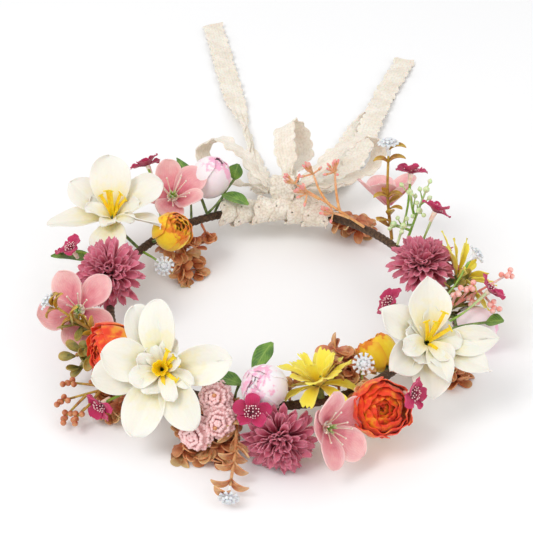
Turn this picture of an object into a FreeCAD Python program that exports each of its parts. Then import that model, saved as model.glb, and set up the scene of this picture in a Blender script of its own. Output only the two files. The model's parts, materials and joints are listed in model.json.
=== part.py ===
"""Flower crown: a paper-taped wire band carrying artificial blooms, with a lace ribbon tied in a bow behind.

Millimetres. The origin is the middle of the head opening, on the surface that the crown lies on. +Z is up,
the bow is at +Y and the front of the crown at -Y. Angles round the band are degrees from +X towards +Y.
"""

import FreeCAD, Part
import math
import os
import Sketcher

from FreeCAD import Placement, Rotation, Vector

DIMENSIONS = {
    # Band: a bent steel wire inside a tube of wound paper tape, open behind, with an eye at each end.
    "band_radius": 88.0,
    "band_height": 20.0,
    "band_wire_radius": 0.8,
    "band_tape_bore": 0.9,
    "band_tape_radius": 2.7,
    "band_gap_angle": 10.0,
    "band_eye_radius": 2.4,
    "band_eye_wire_radius": 1.0,
    # Lace ribbon.
    "ribbon_width": 14.0,
    "ribbon_thickness": 1.4,
    "ribbon_wrap_bore": 3.7,
    "ribbon_wrap_radius": 7.0,
    "ribbon_wrap_angle": 42.0,
    "ribbon_knot_radius": 9.5,
    "tail_drop": 40.0,
    "left_tail_length": 250.0,
    "right_tail_length": 210.0,
    "left_loop_length": 50.0,
    "right_loop_length": 60.0,
    "upper_loop_length": 46.0,
    "loop_breadth": 20.0,
    # Blooms.
    "stem_wire_radius": 0.9,
    "petal_thickness": 1.2,
    "peg_radius": 2.0,
    "peg_clearance": 0.1,
    "peg_depth": 4.0,
    "white_radius": 29.0,
    "white_depth": 9.0,
    "white_stamen_height": 13.0,
    "pink_radius": 16.0,
    "pink_depth": 8.0,
    "pink_core_height": 7.0,
    "daisy_radius": 14.0,
    "daisy_depth": 10.0,
    "daisy_core_height": 3.0,
    "mauve_radius": 15.5,
    "orange_radius": 13.5,
    "yellow_radius": 10.5,
    "peony_radius": 11.5,
    "head_cut_angle": -35.0,
    "calyx_height": 6.0,
    "calyx_tip_radius": 1.6,
    "stem_bite": 0.6,
    "sprig_gap": 0.8,
    "bowl_seat_radius": 4.2,
    "fuchsia_radius": 6.5,
    "fuchsia_depth": 2.6,
    "pompom_radius": 6.6,
    "pompom_cut_angle": -25.0,
    "star_radius": 4.6,
    "star_height": 3.0,
    # Foliage and sprigs.
    "leaf_length": 19.0,
    "leaf_side_radius": 14.0,
    "leaf_thickness": 0.9,
    "sprig_stem_radius": 0.8,
    "small_leaf_radius": 3.6,
    "rising_spray_length": 20.0,
    "berry_radius": 1.7,
    "bud_radius": 1.6,
}

# Blooms with petals or a head on a calyx. Each row: name, kind, angle round the band, distance from the
# middle and height of the bloom's centre, then the azimuth and elevation it faces, in degrees.
BLOOMS = [
    ("white_flower_back_left", "white", 149, 105, 39.5, 250, 75),
    ("white_flower_front_left", "white", 237, 100, 41, 260, 45),
    ("white_flower_right", "white", 322.5, 102, 41, 285, 48),
    ("mauve_flower_left", "mauve", 178.4, 88.5, 37.5, 255, 45),
    ("mauve_flower_front", "mauve", 272.5, 110, 16, 270, 12),
    ("mauve_flower_right", "mauve", 10, 86, 36, 250, 82),
    ("orange_flower_left", "orange", 215.6, 101, 31, 200, 12),
    ("orange_flower_right", "orange", 300, 110, 25, 285, 38),
    ("yellow_bud_back", "yellow", 140.7, 72.4, 34, 330, 45),
    ("yellow_bud_right", "yellow", 318, 75, 23, 132, 42),
    ("peony_bud_back", "peony", 110.5, 101, 39, 20, 55),
    ("peony_bud_front", "peony", 268, 89, 33, 230, 50),
    ("peony_bud_right", "peony", 353, 113, 11.6, 340, -20),
    ("pink_flower_back", "pink", 126, 97, 36, 290, 65),
    ("pink_flower_left", "pink", 192, 105, 30, 265, 45),
    ("pink_flower_front", "pink", 284.5, 113, 25, 320, 25),
    ("pink_flower_right", "pink", 47.5, 103, 34, 90, 60),
    ("daisy_front", "daisy", 287, 82, 30, 110, 55),
    ("daisy_right", "daisy", 6, 107, 29, 20, 25),
]

PETAL_COUNTS = {"white": 6, "pink": 5, "daisy": 8}

# How far behind a bloom's centre its seat on the calyx is, as a share of its radius.
SEAT_SHARE = {
    "white": 0.14,
    "pink": 0.18,
    "daisy": 0.3,
    "mauve": 0.57,
    "orange": 0.57,
    "yellow": 0.57,
    "peony": 0.57,
}

# Small pieces on stems of their own. Each row: x, y, z of the piece, the azimuth and elevation that it
# faces or points to, and the angle round the band where its stem is taped on.
FUCHSIA_BLOSSOMS = [
    (-9, -105, 31, 265, 42, 262),
    (92, 38, 52, 45, 50, 22),
    (80, 62, 62, 70, 60, 34),
    (118, -11, 34, 10, 45, 341),
    (70, -93, 33, 330, 20, 309),
    (-86, -80, 15, 230, 0, 229),
    (-72, 98, 44, 120, 40, 134),
    (-110, 24, 36, 170, 60, 158),
    (66, -10, 25, 180, 40, 350),
]
POMPOMS = [
    (-28, -91, 28, 250, 45, 254),
    (-26, -101, 21, 265, 30, 256),
    (-38, -104, 15, 240, 15, 246.5),
]
STARS = [
    (-60, 34, 18, 270, 40, 148),
    (47, -76, 38, 270, 40, 303),
    (109, 2, 47, 20, 30, 352),
]
GREEN_LEAVES = [
    (-46, 100, 30, 130, 40, 121),
    (-21, 98, 34, 60, 60, 111.5),
    (-29, 88, 31, 330, -5, 115),
    (-9, -75, 32, 55, 20, 261.5),
    (-14, -83, 29, 160, 5, 258),
    (116, -22, 22, 345, 10, 338),
    (-104, 28, 27, 190, 15, 154),
]
# Sprays of small round leaves: angle round the band, azimuth and elevation pointed to, and leaf count.
# Those that point down end on the surface, and the crown rests on them.
DROOPING_SPRAYS = [
    (60, 65, -45, 5),
    (133, 315, -42, 5),
    (160, 185, -45, 5),
    (219, 230, -42, 5),
    (250, 245, -40, 6),
    (254, 262, -42, 5),
    (338, 330, -42, 5),
]
RISING_SPRAYS = [
    (306, 155, 20, 4),
]

KNOT = Vector(9, 98, 27)
# Each tail: name, length cell, where it leaves the knot, and the azimuth that it runs to.
TAILS = [
    ("ribbon_tail_left", "left_tail_length", Vector(-2, 109, 17), 99.1),
    ("ribbon_tail_right", "right_tail_length", Vector(24, 107, 17), 69.6),
]
# Each loop: name, length cell, where it leaves the knot, azimuth, elevation, and roll about its own length.
LOOPS = [
    ("ribbon_loop_left", "left_loop_length", Vector(-3, 104, 27), 155.0, 8.0, 90.0),
    ("ribbon_loop_right", "right_loop_length", Vector(21, 101, 29), 25.0, 5.0, 90.0),
    ("ribbon_loop_upper", "upper_loop_length", Vector(12, 108, 33), 75.0, 18.0, 35.0),
]

doc = FreeCAD.newDocument("FlowerCrown")
sheet = doc.addObject("Spreadsheet::Sheet", "Dimensions")
nodes = []
calyxes = {}


class Size:
    """A length with both its value and the spreadsheet formula that it comes from."""

    def __init__(self, formula, value):
        self.formula = formula
        self.value = value

    def __add__(self, other):
        other = as_size(other)
        return Size(f"({self.formula} + {other.formula})", self.value + other.value)

    def __sub__(self, other):
        other = as_size(other)
        return Size(f"({self.formula} - {other.formula})", self.value - other.value)

    def __mul__(self, factor):
        return Size(f"({self.formula} * {factor})", self.value * factor)


def as_size(number):
    return number if isinstance(number, Size) else Size(str(float(number)), float(number))


def cell(alias):
    return Size(f"Dimensions.{alias}", DIMENSIONS[alias])


def fill_sheet():
    for row, (alias, value) in enumerate(DIMENSIONS.items(), start=1):
        sheet.set(f"A{row}", alias)
        sheet.set(f"B{row}", str(value))
        sheet.setAlias(f"B{row}", alias)
    doc.recompute()


def spherical(azimuth, elevation):
    a, e = math.radians(azimuth), math.radians(elevation)
    return Vector(math.cos(a) * math.cos(e), math.sin(a) * math.cos(e), math.sin(e))


def round_band(angle, distance, height):
    a = math.radians(angle)
    return Vector(distance * math.cos(a), distance * math.sin(a), height)


def on_band(angle):
    return round_band(angle, DIMENSIONS["band_radius"], DIMENSIONS["band_height"])


def facing(point, direction):
    """The placement at a point whose own +Z looks along a direction."""
    return Placement(point, Rotation(Vector(0, 0, 1), direction))


def tape_surface(angle, towards, offset):
    """A point on the tape at an angle round the band, on the side that looks towards another point."""
    centre = on_band(angle)
    along = Vector(-math.sin(math.radians(angle)), math.cos(math.radians(angle)), 0)
    gap = towards - centre
    outward = (gap - along * gap.dot(along)).normalize()
    return centre + outward * (DIMENSIONS["band_tape_radius"] + offset)


def angle_of(point):
    return math.degrees(math.atan2(point.y, point.x))


def finish_node(shape_object, name, placement):
    shape_object.Label = name
    shape_object.Placement = placement
    nodes.append(shape_object)
    return shape_object


def bind(shape_object, **sizes):
    for prop, size in sizes.items():
        shape_object.setExpression(prop, as_size(size).formula)
    return shape_object


def primitive(kind, placement, **sizes):
    made = doc.addObject(f"Part::{kind}", kind)
    made.Placement = placement
    return bind(made, **sizes)


def rod_between(start, end, radius):
    made = primitive("Cylinder", facing(start, end - start), Radius=radius)
    made.Height = (end - start).Length
    return made


def taped_stem(start, angle):
    """A wire from a piece down to the band, with its end under the tape."""
    end = tape_surface(angle, start, -DIMENSIONS["stem_bite"])
    return rod_between(start, end, cell("stem_wire_radius"))


def fused(pieces):
    made = doc.addObject("Part::MultiFuse", "Fused")
    made.Shapes = pieces
    return made


def placed(shape_object, placement):
    shape_object.Placement = placement
    return shape_object


def grouped(pieces):
    made = doc.addObject("Part::Compound", "Group")
    made.Links = pieces
    return made


def origin_feature(body, role):
    return next(f for f in body.Origin.OriginFeatures if f.Role == role)


def polygon_sketch(body, role, outlines):
    """A sketch of closed polygons on one of a body's own planes, with every corner bound to the sheet."""
    sketch = body.newObject("Sketcher::SketchObject", "Outline")
    sketch.AttachmentSupport = [(origin_feature(body, role), "")]
    sketch.MapMode = "FlatFace"
    for outline in outlines:
        corners = [(as_size(x), as_size(y)) for x, y in outline]
        first, count = sketch.GeometryCount, len(corners)
        for k in range(count):
            (x0, y0), (x1, y1) = corners[k], corners[(k + 1) % count]
            edge = Part.LineSegment(Vector(x0.value, y0.value, 0), Vector(x1.value, y1.value, 0))
            sketch.addGeometry(edge, False)
        for k in range(count):
            sketch.addConstraint(Sketcher.Constraint("Coincident", first + k, 2, first + (k + 1) % count, 1))
        for k, corner in enumerate(corners):
            for way, size in zip(("DistanceX", "DistanceY"), corner):
                number = sketch.addConstraint(Sketcher.Constraint(way, -1, 1, first + k, 1, size.value))
                sketch.setExpression(f"Constraints[{number}]", size.formula)
    return sketch


def revolved_body(outline):
    """A body turned about its own Z axis from a closed outline of (radius, height) corners."""
    body = doc.addObject("PartDesign::Body", "Turned")
    turn = body.newObject("PartDesign::Revolution", "Turn")
    turn.Profile = polygon_sketch(body, "XZ_Plane", [outline])
    turn.ReferenceAxis = (turn.Profile[0], ["V_Axis"])
    turn.Angle = 360
    return body


def cut_notches(body, count, inner, outer, half_width):
    """Cuts a ring of V notches through a turned body, which leaves it with separate petals."""
    pocket = body.newObject("PartDesign::Pocket", "Notch")
    notch = [(inner, 0), (outer, half_width), (outer, half_width * -1)]
    pocket.Profile = polygon_sketch(body, "XY_Plane", [notch])
    pocket.Type = "ThroughAll"
    pocket.Midplane = True
    pattern = body.newObject("PartDesign::PolarPattern", "Notches")
    pattern.Originals = [pocket]
    pattern.Axis = (origin_feature(body, "Z_Axis"), [""])
    pattern.Angle = 360
    pattern.Occurrences = count
    body.Tip = pattern
    return body


def prism_body(outlines, width):
    """A body padded both ways from the XZ plane, from closed outlines of (x, z) corners."""
    body = doc.addObject("PartDesign::Body", "Prism")
    pad = body.newObject("PartDesign::Pad", "Pad")
    pad.Profile = polygon_sketch(body, "XZ_Plane", outlines)
    pad.Midplane = True
    return body, bind(pad, Length=width)


def ring_arc(section, first_angle, sweep):
    """A body that follows the band: circles at its radius and height, turned about the crown's axis."""
    body = doc.addObject("PartDesign::Body", "RingArc")
    sketch = body.newObject("Sketcher::SketchObject", "Section")
    sketch.AttachmentSupport = [(origin_feature(body, "XZ_Plane"), "")]
    sketch.MapMode = "FlatFace"
    radius, height = cell("band_radius"), cell("band_height")
    for size in section:
        index = sketch.addGeometry(
            Part.Circle(Vector(radius.value, height.value, 0), Vector(0, 0, 1), size.value), False
        )
        bound = [("DistanceX", (-1, 1, index, 3), radius), ("DistanceY", (-1, 1, index, 3), height)]
        bound.append(("Radius", (index,), size))
        for kind, picks, value in bound:
            number = sketch.addConstraint(Sketcher.Constraint(kind, *picks, value.value))
            sketch.setExpression(f"Constraints[{number}]", value.formula)
    turn = body.newObject("PartDesign::Revolution", "Turn")
    turn.Profile = sketch
    turn.ReferenceAxis = (sketch, ["V_Axis"])
    turn.setExpression("Angle", as_size(sweep).formula)
    body.Placement = Placement(Vector(), Rotation(Vector(0, 0, 1), first_angle))
    return body


def build_band():
    """The steel wire with its two end eyes, and the paper tape wound over it."""
    gap = cell("band_gap_angle")
    sweep = as_size(360) - gap
    start = 90 + gap.value / 2
    arc = ring_arc([cell("band_wire_radius")], start, sweep)
    pieces = [arc]
    for side in (1, -1):
        angle = 90 + side * gap.value / 2
        towards_gap = Vector(math.sin(math.radians(angle)), -math.cos(math.radians(angle)), 0) * side
        centre = on_band(angle) + towards_gap * DIMENSIONS["band_eye_radius"]
        eye = primitive("Torus", Placement(centre, Rotation()), Radius1=cell("band_eye_radius"))
        pieces.append(bind(eye, Radius2=cell("band_eye_wire_radius")))
    finish_node(fused(pieces), "band_wire", Placement())
    tape = ring_arc([cell("band_tape_radius"), cell("band_tape_bore")], start + 3, sweep - 6)
    finish_node(tape, "band_tape", tape.Placement)


def build_ribbon_hub():
    """The lace wound round the back of the band, and the knot that the loops and tails leave from."""
    sweep = cell("ribbon_wrap_angle")
    wrap = ring_arc([cell("ribbon_wrap_radius"), cell("ribbon_wrap_bore")], 66, sweep)
    finish_node(wrap, "ribbon_wrap", wrap.Placement)
    knot = primitive("Sphere", Placement(), Radius=cell("ribbon_knot_radius"))
    finish_node(knot, "ribbon_knot", Placement(KNOT, Rotation()))


def build_tail(name, length_alias, start, azimuth):
    """A flat ribbon that drops from the knot to the surface and lies along it."""
    length, drop = cell(length_alias), cell("tail_drop")
    thick = cell("ribbon_thickness")
    height = as_size(start.z)
    line = [
        (as_size(0), height - thick * 0.5),
        (drop * 0.3, height * 0.85),
        (drop * 0.7, height * 0.22),
        (drop, as_size(0)),
        (length, as_size(0)),
    ]
    outline = line + [(x + thick * 0.3, z + thick) for x, z in reversed(line)]
    outline[-1] = (as_size(0), height + thick * 0.5)
    body, _ = prism_body([outline], cell("ribbon_width"))
    finish_node(body, name, Placement(Vector(start.x, start.y, 0), Rotation(Vector(0, 0, 1), azimuth)))


def build_loop(name, length_alias, start, azimuth, elevation, roll):
    """A teardrop loop of ribbon, narrow at the knot."""
    length, half, thick = cell(length_alias), cell("loop_breadth") * 0.5, cell("ribbon_thickness")
    side = [(0.0, 0.1), (0.3, 0.55), (0.62, 1.0), (0.86, 0.85), (1.0, 0.3)]
    outer = [(length * x, half * z) for x, z in side]
    inner = [(length * x, half * z - thick) for x, z in side[1:-1]]
    inner_tip = (length - thick, half * 0.15)
    outer += [(x, z * -1) for x, z in reversed(outer)]
    inner = [(length * 0.14, as_size(0)), *inner, inner_tip]
    inner += [(x, z * -1) for x, z in reversed(inner[1:])]
    body, _ = prism_body([outer, inner], cell("ribbon_width"))
    aim = Rotation(Vector(0, 0, 1), azimuth) * Rotation(Vector(0, 1, 0), -elevation)
    finish_node(body, name, Placement(start, aim * Rotation(Vector(1, 0, 0), roll)))


def petal_bowl(kind, petals, seat_radius):
    """An open bloom: a thin bowl with a bore for its peg, notched into petals."""
    radius, depth, thick = cell(f"{kind}_radius"), cell(f"{kind}_depth"), cell("petal_thickness")
    bore = cell("peg_radius") + cell("peg_clearance")
    underside = [(bore, 0), (seat_radius, 0), (radius * 0.55, depth * 0.5), (radius, depth)]
    upper = [(radius, depth + thick), (radius * 0.5, depth * 0.5 + thick)]
    upper += [(seat_radius, thick), (bore, thick)]
    body = revolved_body(underside + upper)
    return cut_notches(body, petals, radius * 0.42, radius * 1.1, radius * 0.2)


def peg_core(height, flange, below):
    """The moulded peg through a bloom's petals, with the flange and stamens that hold them down."""
    peg, thick = cell("peg_radius"), cell("petal_thickness")
    clear = cell("peg_clearance")
    outline = [(0, below * -1), (peg, below * -1), (peg, thick + clear), (flange, thick + clear)]
    top = thick * 2 + height
    outline += [(flange, thick * 2), (peg * 0.8, thick * 2 + height * 0.5), (peg * 1.2, top), (0, top)]
    return revolved_body(outline)


def cup(seat_radius, bored):
    """A calyx: a cone that widens to the bloom's seat, bored for the peg where the bloom turns on one."""
    tall, tip = cell("calyx_height"), cell("calyx_tip_radius")
    if not bored:
        return revolved_body([(0, tall * -1), (tip, tall * -1), (seat_radius, 0), (0, 0)])
    bore, depth = cell("peg_radius") + cell("peg_clearance"), cell("peg_depth") + cell("peg_clearance")
    skirt = cell("peg_clearance") * -1
    outline = [(0, tall * -1), (tip * 1.6, tall * -1), (seat_radius, skirt)]
    return revolved_body(outline + [(bore, skirt), (bore, depth * -1), (0, depth * -1)])


def build_bloom(name, kind, angle, distance, height, azimuth, elevation):
    """One bloom, with the calyx or peg that carries it and its stem wire down to the band."""
    direction = spherical(azimuth, elevation)
    sunk = SEAT_SHARE[kind] * DIMENSIONS[f"{kind}_radius"]
    seat = facing(round_band(angle, distance, height) - direction * sunk, direction)
    foot = seat.multVec(Vector(0, 0, -DIMENSIONS["calyx_height"] * 0.9))
    stem = taped_stem(foot, angle_of(foot))
    seat_radius = cell("bowl_seat_radius")
    if kind in PETAL_COUNTS:
        finish_node(petal_bowl(kind, PETAL_COUNTS[kind], seat_radius), f"{name}_petals", seat)
    if kind == "white":
        core = peg_core(cell("white_stamen_height"), seat_radius, cell("peg_depth"))
        finish_node(core, f"{name}_stamens", seat)
        finish_node(fused([placed(cup(seat_radius, True), seat), stem]), f"{name}_calyx", Placement())
    elif kind in PETAL_COUNTS:
        core = peg_core(cell(f"{kind}_core_height"), cell("peg_radius") * 1.6, cell("calyx_height"))
        finish_node(fused([placed(core, seat), stem]), f"{name}_core", Placement())
    else:
        build_head(name, kind, seat)
        calyx = cup(cell(f"{kind}_radius") * 0.6, False)
        calyxes.setdefault(kind, []).append(fused([placed(calyx, seat), stem]))


def build_head(name, kind, seat):
    """A full double bloom: a ball cut flat where it sits on its calyx."""
    radius, cut = cell(f"{kind}_radius"), cell("head_cut_angle")
    ball = primitive("Sphere", Placement(), Radius=radius, Angle1=cut)
    lift = radius.value * math.sin(math.radians(-cut.value))
    raised = Placement(Vector(0, 0, lift), Rotation())
    finish_node(ball, f"{name}_head", seat.multiply(raised))


def build_fuchsia_blossoms():
    radius, depth, thick = cell("fuchsia_radius"), cell("fuchsia_depth"), cell("petal_thickness") * 0.8
    heart = radius * 0.34
    made = []
    for x, y, z, azimuth, elevation, angle in FUCHSIA_BLOSSOMS:
        place = facing(Vector(x, y, z), spherical(azimuth, elevation))
        outline = [(0, 0), (heart, 0), (radius, depth), (radius, depth + thick), (heart, thick), (0, thick)]
        body = cut_notches(revolved_body(outline), 5, radius * 0.5, radius * 1.1, radius * 0.22)
        made.append(fused([placed(body, place), taped_stem(place.multVec(Vector(0, 0, 0.4)), angle)]))
    finish_node(grouped(made), "fuchsia_blossoms", Placement())


def build_filler_flowers():
    """Pink pompoms and white star flowers, each on its own stem."""
    pompoms = []
    for x, y, z, azimuth, elevation, angle in POMPOMS:
        place = facing(Vector(x, y, z), spherical(azimuth, elevation))
        ball = primitive("Sphere", place, Radius=cell("pompom_radius"), Angle1=cell("pompom_cut_angle"))
        pompoms.append(fused([ball, taped_stem(place.Base, angle)]))
    finish_node(grouped(pompoms), "pink_pompoms", Placement())
    stars = []
    for x, y, z, azimuth, elevation, angle in STARS:
        place = facing(Vector(x, y, z), spherical(azimuth, elevation))
        disc = primitive("Cylinder", place, Radius=cell("star_radius"), Height=cell("star_height"))
        stars.append(fused([disc, taped_stem(place.multVec(Vector(0, 0, 0.4)), angle)]))
    finish_node(grouped(stars), "white_star_flowers", Placement())


def leaf_blade(base, azimuth, elevation):
    """A pointed leaf: what two thin discs have in common."""
    side, thick = cell("leaf_side_radius"), cell("leaf_thickness")
    half = DIMENSIONS["leaf_length"] / 2
    offset = math.sqrt(side.value**2 - half**2)
    discs = []
    for way in (1, -1):
        place = Placement(Vector(half, way * offset, 0), Rotation())
        discs.append(primitive("Cylinder", place, Radius=side, Height=thick))
    blade = doc.addObject("Part::Common", "Blade")
    blade.Base, blade.Tool = discs
    aim = Rotation(Vector(0, 0, 1), azimuth) * Rotation(Vector(0, 1, 0), -elevation)
    blade.Placement = Placement(base, aim)
    return blade


def build_green_leaves():
    leaves = []
    for x, y, z, azimuth, elevation, angle in GREEN_LEAVES:
        base = Vector(x, y, z)
        root = base + spherical(azimuth, elevation) * 2
        leaves.append(fused([leaf_blade(base, azimuth, elevation), taped_stem(root, angle)]))
    finish_node(grouped(leaves), "green_leaves", Placement())


def leafy_stem(start, direction, length, count):
    """A stem with small round leaves on alternate sides."""
    end = start + direction * length
    pieces = [rod_between(start, end, cell("sprig_stem_radius"))]
    across = direction.cross(Vector(0, 0, 1)).normalize()
    for k in range(count):
        way = 1 if k % 2 else -1
        at = start + direction * (length * (k + 1) / count)
        pieces.append(small_leaf(at, across * way, Vector(0, 0, 1)))
    return fused(pieces)


def small_leaf(root, outward, normal):
    """A small round leaf that grows outward from its root, lifted towards its normal."""
    rise = 0.45
    reach = (outward + normal * rise).normalize() * (DIMENSIONS["small_leaf_radius"] * 0.85)
    place = facing(root + reach, normal - outward * rise)
    disc = primitive("Cylinder", place, Radius=cell("small_leaf_radius"))
    return bind(disc, Height=cell("leaf_thickness"))


def build_rust_sprays():
    sprays = []
    for angle, azimuth, elevation, count in DROOPING_SPRAYS + RISING_SPRAYS:
        direction = spherical(azimuth, elevation)
        start = tape_surface(angle, on_band(angle) + direction, -DIMENSIONS["stem_bite"])
        length = DIMENSIONS["rising_spray_length"]
        if elevation < 0:
            length = (start.z - DIMENSIONS["sprig_stem_radius"]) / -direction.z
        sprays.append(leafy_stem(start, direction, length, count))
    finish_node(grouped(sprays), "rust_leaf_sprays", Placement())


def sprig_root(angle, tip):
    """Where a springy sprig leaves the band, just clear of the tape that holds its wire."""
    return tape_surface(angle, tip, DIMENSIONS["sprig_gap"])


def tipped_sprig(name, angle, tip, branches, tip_radius):
    """A moulded sprig: a main stem with side branches, each ending in a ball.

    Each branch is (share of the stem where it leaves, its end as an offset from the stem's tip).
    """
    start, stem = sprig_root(angle, tip), cell("sprig_stem_radius")
    pieces = [rod_between(start, tip, stem)]
    pieces.append(primitive("Sphere", facing(tip, tip - start), Radius=tip_radius))
    for share, offset in branches:
        fork = start + (tip - start) * share
        end = tip + Vector(*offset)
        pieces.append(rod_between(fork, end, stem * 0.8))
        pieces.append(primitive("Sphere", facing(end, end - fork), Radius=tip_radius))
    finish_node(fused(pieces), name, Placement())


def star_sprig(name, angle, tip, leaf_shares):
    """A moulded sprig: a stem with pairs of small leaves and a star flower at the tip."""
    start = sprig_root(angle, tip)
    direction = (tip - start).normalize()
    pieces = [rod_between(start, tip, cell("sprig_stem_radius"))]
    star = primitive("Cylinder", facing(tip, direction), Radius=cell("star_radius"))
    pieces.append(bind(star, Height=cell("star_height")))
    across = direction.cross(Vector(0, 1, 0)).normalize()
    for share in leaf_shares:
        at = start + (tip - start) * share
        pieces += [small_leaf(at, across * way, direction) for way in (1, -1)]
    finish_node(fused(pieces), name, Placement())


def build_sprigs():
    """The springy moulded sprigs that stand clear of the blooms."""
    berry, bud = cell("berry_radius"), cell("bud_radius")
    star_sprig("star_sprig_back", 37, Vector(67, 65, 76), [0.42, 0.85])
    star_sprig("star_sprig_left", 205.5, Vector(-114, -32, 41), [0.6, 0.85])
    star_sprig("drop_sprig_front", 259.5, Vector(-20, -136, 8), [0.48, 0.66, 0.84])
    tipped_sprig(
        "green_berry_sprig",
        30,
        Vector(88, 50, 60),
        [(0.3, (-18, -8, -18)), (0.4, (-13, -14, -15)), (0.5, (-9, 2, -3)), (0.62, (-4, -8, -9))],
        berry,
    )
    tipped_sprig(
        "peach_bud_sprig",
        50,
        Vector(14, 84, 42),
        [(0.2, (22, -12, -13)), (0.35, (24, 4, 6)), (0.5, (11, 5, 4)), (0.62, (7, -6, -3))],
        bud,
    )
    tipped_sprig(
        "peach_berry_sprig",
        350,
        Vector(131, 4, 35),
        [(0.2, (-30, -18, 1)), (0.3, (-23, -16, 3)), (0.45, (-21, -15, -7)), (0.6, (-10, -22, -6))],
        berry,
    )
    tipped_sprig(
        "rust_berry_sprig",
        226,
        Vector(-108, -76, 13),
        [(0.4, (3, 10, 4)), (0.55, (8, -9, -4)), (0.7, (2, -6, -6))],
        berry,
    )


def check_objects():
    """Stops if any object failed or any node has no valid solid."""
    doc.recompute()
    for made in doc.Objects:
        if "Invalid" in made.State or "Error" in made.State:
            raise RuntimeError(f"{made.Name} ({made.Label}) failed: {made.State}")
    for node in nodes:
        shape = node.Shape
        if shape.isNull() or not shape.isValid() or not shape.Solids:
            raise RuntimeError(f"{node.Label} has no valid solid")


def export_nodes():
    os.makedirs("parts", exist_ok=True)
    for old in os.listdir("parts"):
        os.remove(os.path.join("parts", old))
    for node in nodes:
        node.Shape.exportStep(os.path.join("parts", f"{node.Label}.step"))
    print(f"{len(nodes)} nodes")


def main():
    fill_sheet()
    build_band()
    build_ribbon_hub()
    for tail in TAILS:
        build_tail(*tail)
    for loop in LOOPS:
        build_loop(*loop)
    for bloom in BLOOMS:
        build_bloom(*bloom)
    for kind, pieces in calyxes.items():
        finish_node(grouped(pieces), f"{kind}_calyxes", Placement())
    build_fuchsia_blossoms()
    build_filler_flowers()
    build_green_leaves()
    build_rust_sprays()
    build_sprigs()
    check_objects()
    export_nodes()


main()
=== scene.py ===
"""Looks of the flower crown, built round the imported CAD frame. Shapes are worked out in millimetres."""

import json
import math

import bpy
import numpy as np
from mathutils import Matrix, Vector


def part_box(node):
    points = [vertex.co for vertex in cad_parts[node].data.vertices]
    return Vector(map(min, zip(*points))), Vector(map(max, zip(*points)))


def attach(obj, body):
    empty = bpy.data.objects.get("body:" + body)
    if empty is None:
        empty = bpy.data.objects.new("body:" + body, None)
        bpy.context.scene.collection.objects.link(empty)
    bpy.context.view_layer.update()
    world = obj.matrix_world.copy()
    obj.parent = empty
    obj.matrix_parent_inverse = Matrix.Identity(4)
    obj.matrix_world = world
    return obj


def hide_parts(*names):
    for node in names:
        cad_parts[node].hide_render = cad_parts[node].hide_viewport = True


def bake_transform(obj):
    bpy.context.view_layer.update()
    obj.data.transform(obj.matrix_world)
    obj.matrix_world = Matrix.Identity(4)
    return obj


MM = 0.001
UP = np.array([0.0, 0.0, 1.0])
# The circle that the band's wire follows.
BAND_RADIUS, BAND_HEIGHT = 88, 20
# The height below which soft parts flatten out on the surface.
REST = 1.0
# Thicknesses: fabric of the larger and of the finer petals, moulded leaves, and lace.
FABRIC, FINE_FABRIC, MOULDED, LACE_THICKNESS = 0.45, 0.4, 0.6, 0.8
# How many degrees seeds, stamens and berries turn from one to the next, as plants space them.
GOLDEN_TURN = 137.5

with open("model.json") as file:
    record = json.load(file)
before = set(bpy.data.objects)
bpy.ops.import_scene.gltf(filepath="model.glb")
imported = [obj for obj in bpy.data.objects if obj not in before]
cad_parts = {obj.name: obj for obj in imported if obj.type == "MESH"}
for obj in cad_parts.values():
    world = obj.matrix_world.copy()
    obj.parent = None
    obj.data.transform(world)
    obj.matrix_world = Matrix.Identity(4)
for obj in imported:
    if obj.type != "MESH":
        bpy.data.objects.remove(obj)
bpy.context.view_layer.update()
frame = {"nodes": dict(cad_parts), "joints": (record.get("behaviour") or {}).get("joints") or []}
joints = {joint["name"]: joint for joint in frame["joints"]}


def dice(name):
    """A random source of its own for each piece, the same on every run."""
    return np.random.default_rng([ord(letter) for letter in name])


def unit(vector):
    vector = np.asarray(vector, float)
    return vector / np.linalg.norm(vector)


# ---------------------------------------------------------------- reading the CAD frame


def groups(count, links):
    """A label for each numbered item, shared by the items that the links join."""
    parent = list(range(count))

    def top(item):
        while parent[item] != item:
            parent[item] = parent[parent[item]]
            item = parent[item]
        return item

    for first, *rest in links:
        for other in rest:
            parent[top(other)] = top(first)
    return [top(item) for item in range(count)]


class Face:
    """One face of a CAD solid, in millimetres: its points, area, middle, mean normal and kind."""

    def __init__(self, points, areas, middles, normals):
        self.points = points
        self.area = areas.sum()
        self.middle = (middles * areas[:, None]).sum(0) / self.area
        self.normal = (normals * areas[:, None]).sum(0) / self.area
        spread, axes = np.linalg.eigh((normals * areas[:, None]).T @ normals / self.area)
        self.flat = np.linalg.norm(self.normal) > 0.999
        self.rod = not self.flat and spread[0] < 0.001
        self.axis = axes[:, 0]
        self.centre, self.radius = fit_circle(points)
        gaps = np.linalg.norm(points - self.centre, axis=1) - self.radius
        self.ball = not self.flat and not self.rod and np.abs(gaps).max() < 0.05 * self.radius

    def line(self):
        """A rod's centreline, as its two ends, and its radius."""
        along = self.points @ self.axis
        across = self.points - np.outer(along, self.axis)
        centre, radius = fit_circle(across)
        centre = centre - self.axis * (centre @ self.axis)
        return centre + self.axis * along.min(), centre + self.axis * along.max(), radius


def fit_circle(points):
    """Centre and radius of the ball, or of the circle in a plane, that the points lie on."""
    middle = points.mean(0)
    offsets = points - middle
    system = np.hstack([2 * offsets, np.ones((len(points), 1))])
    answer = np.linalg.lstsq(system, (offsets**2).sum(1), rcond=1e-6)[0]
    return middle + answer[:3], math.sqrt(max(answer[3] + answer[:3] @ answer[:3], 1e-9))


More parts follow.
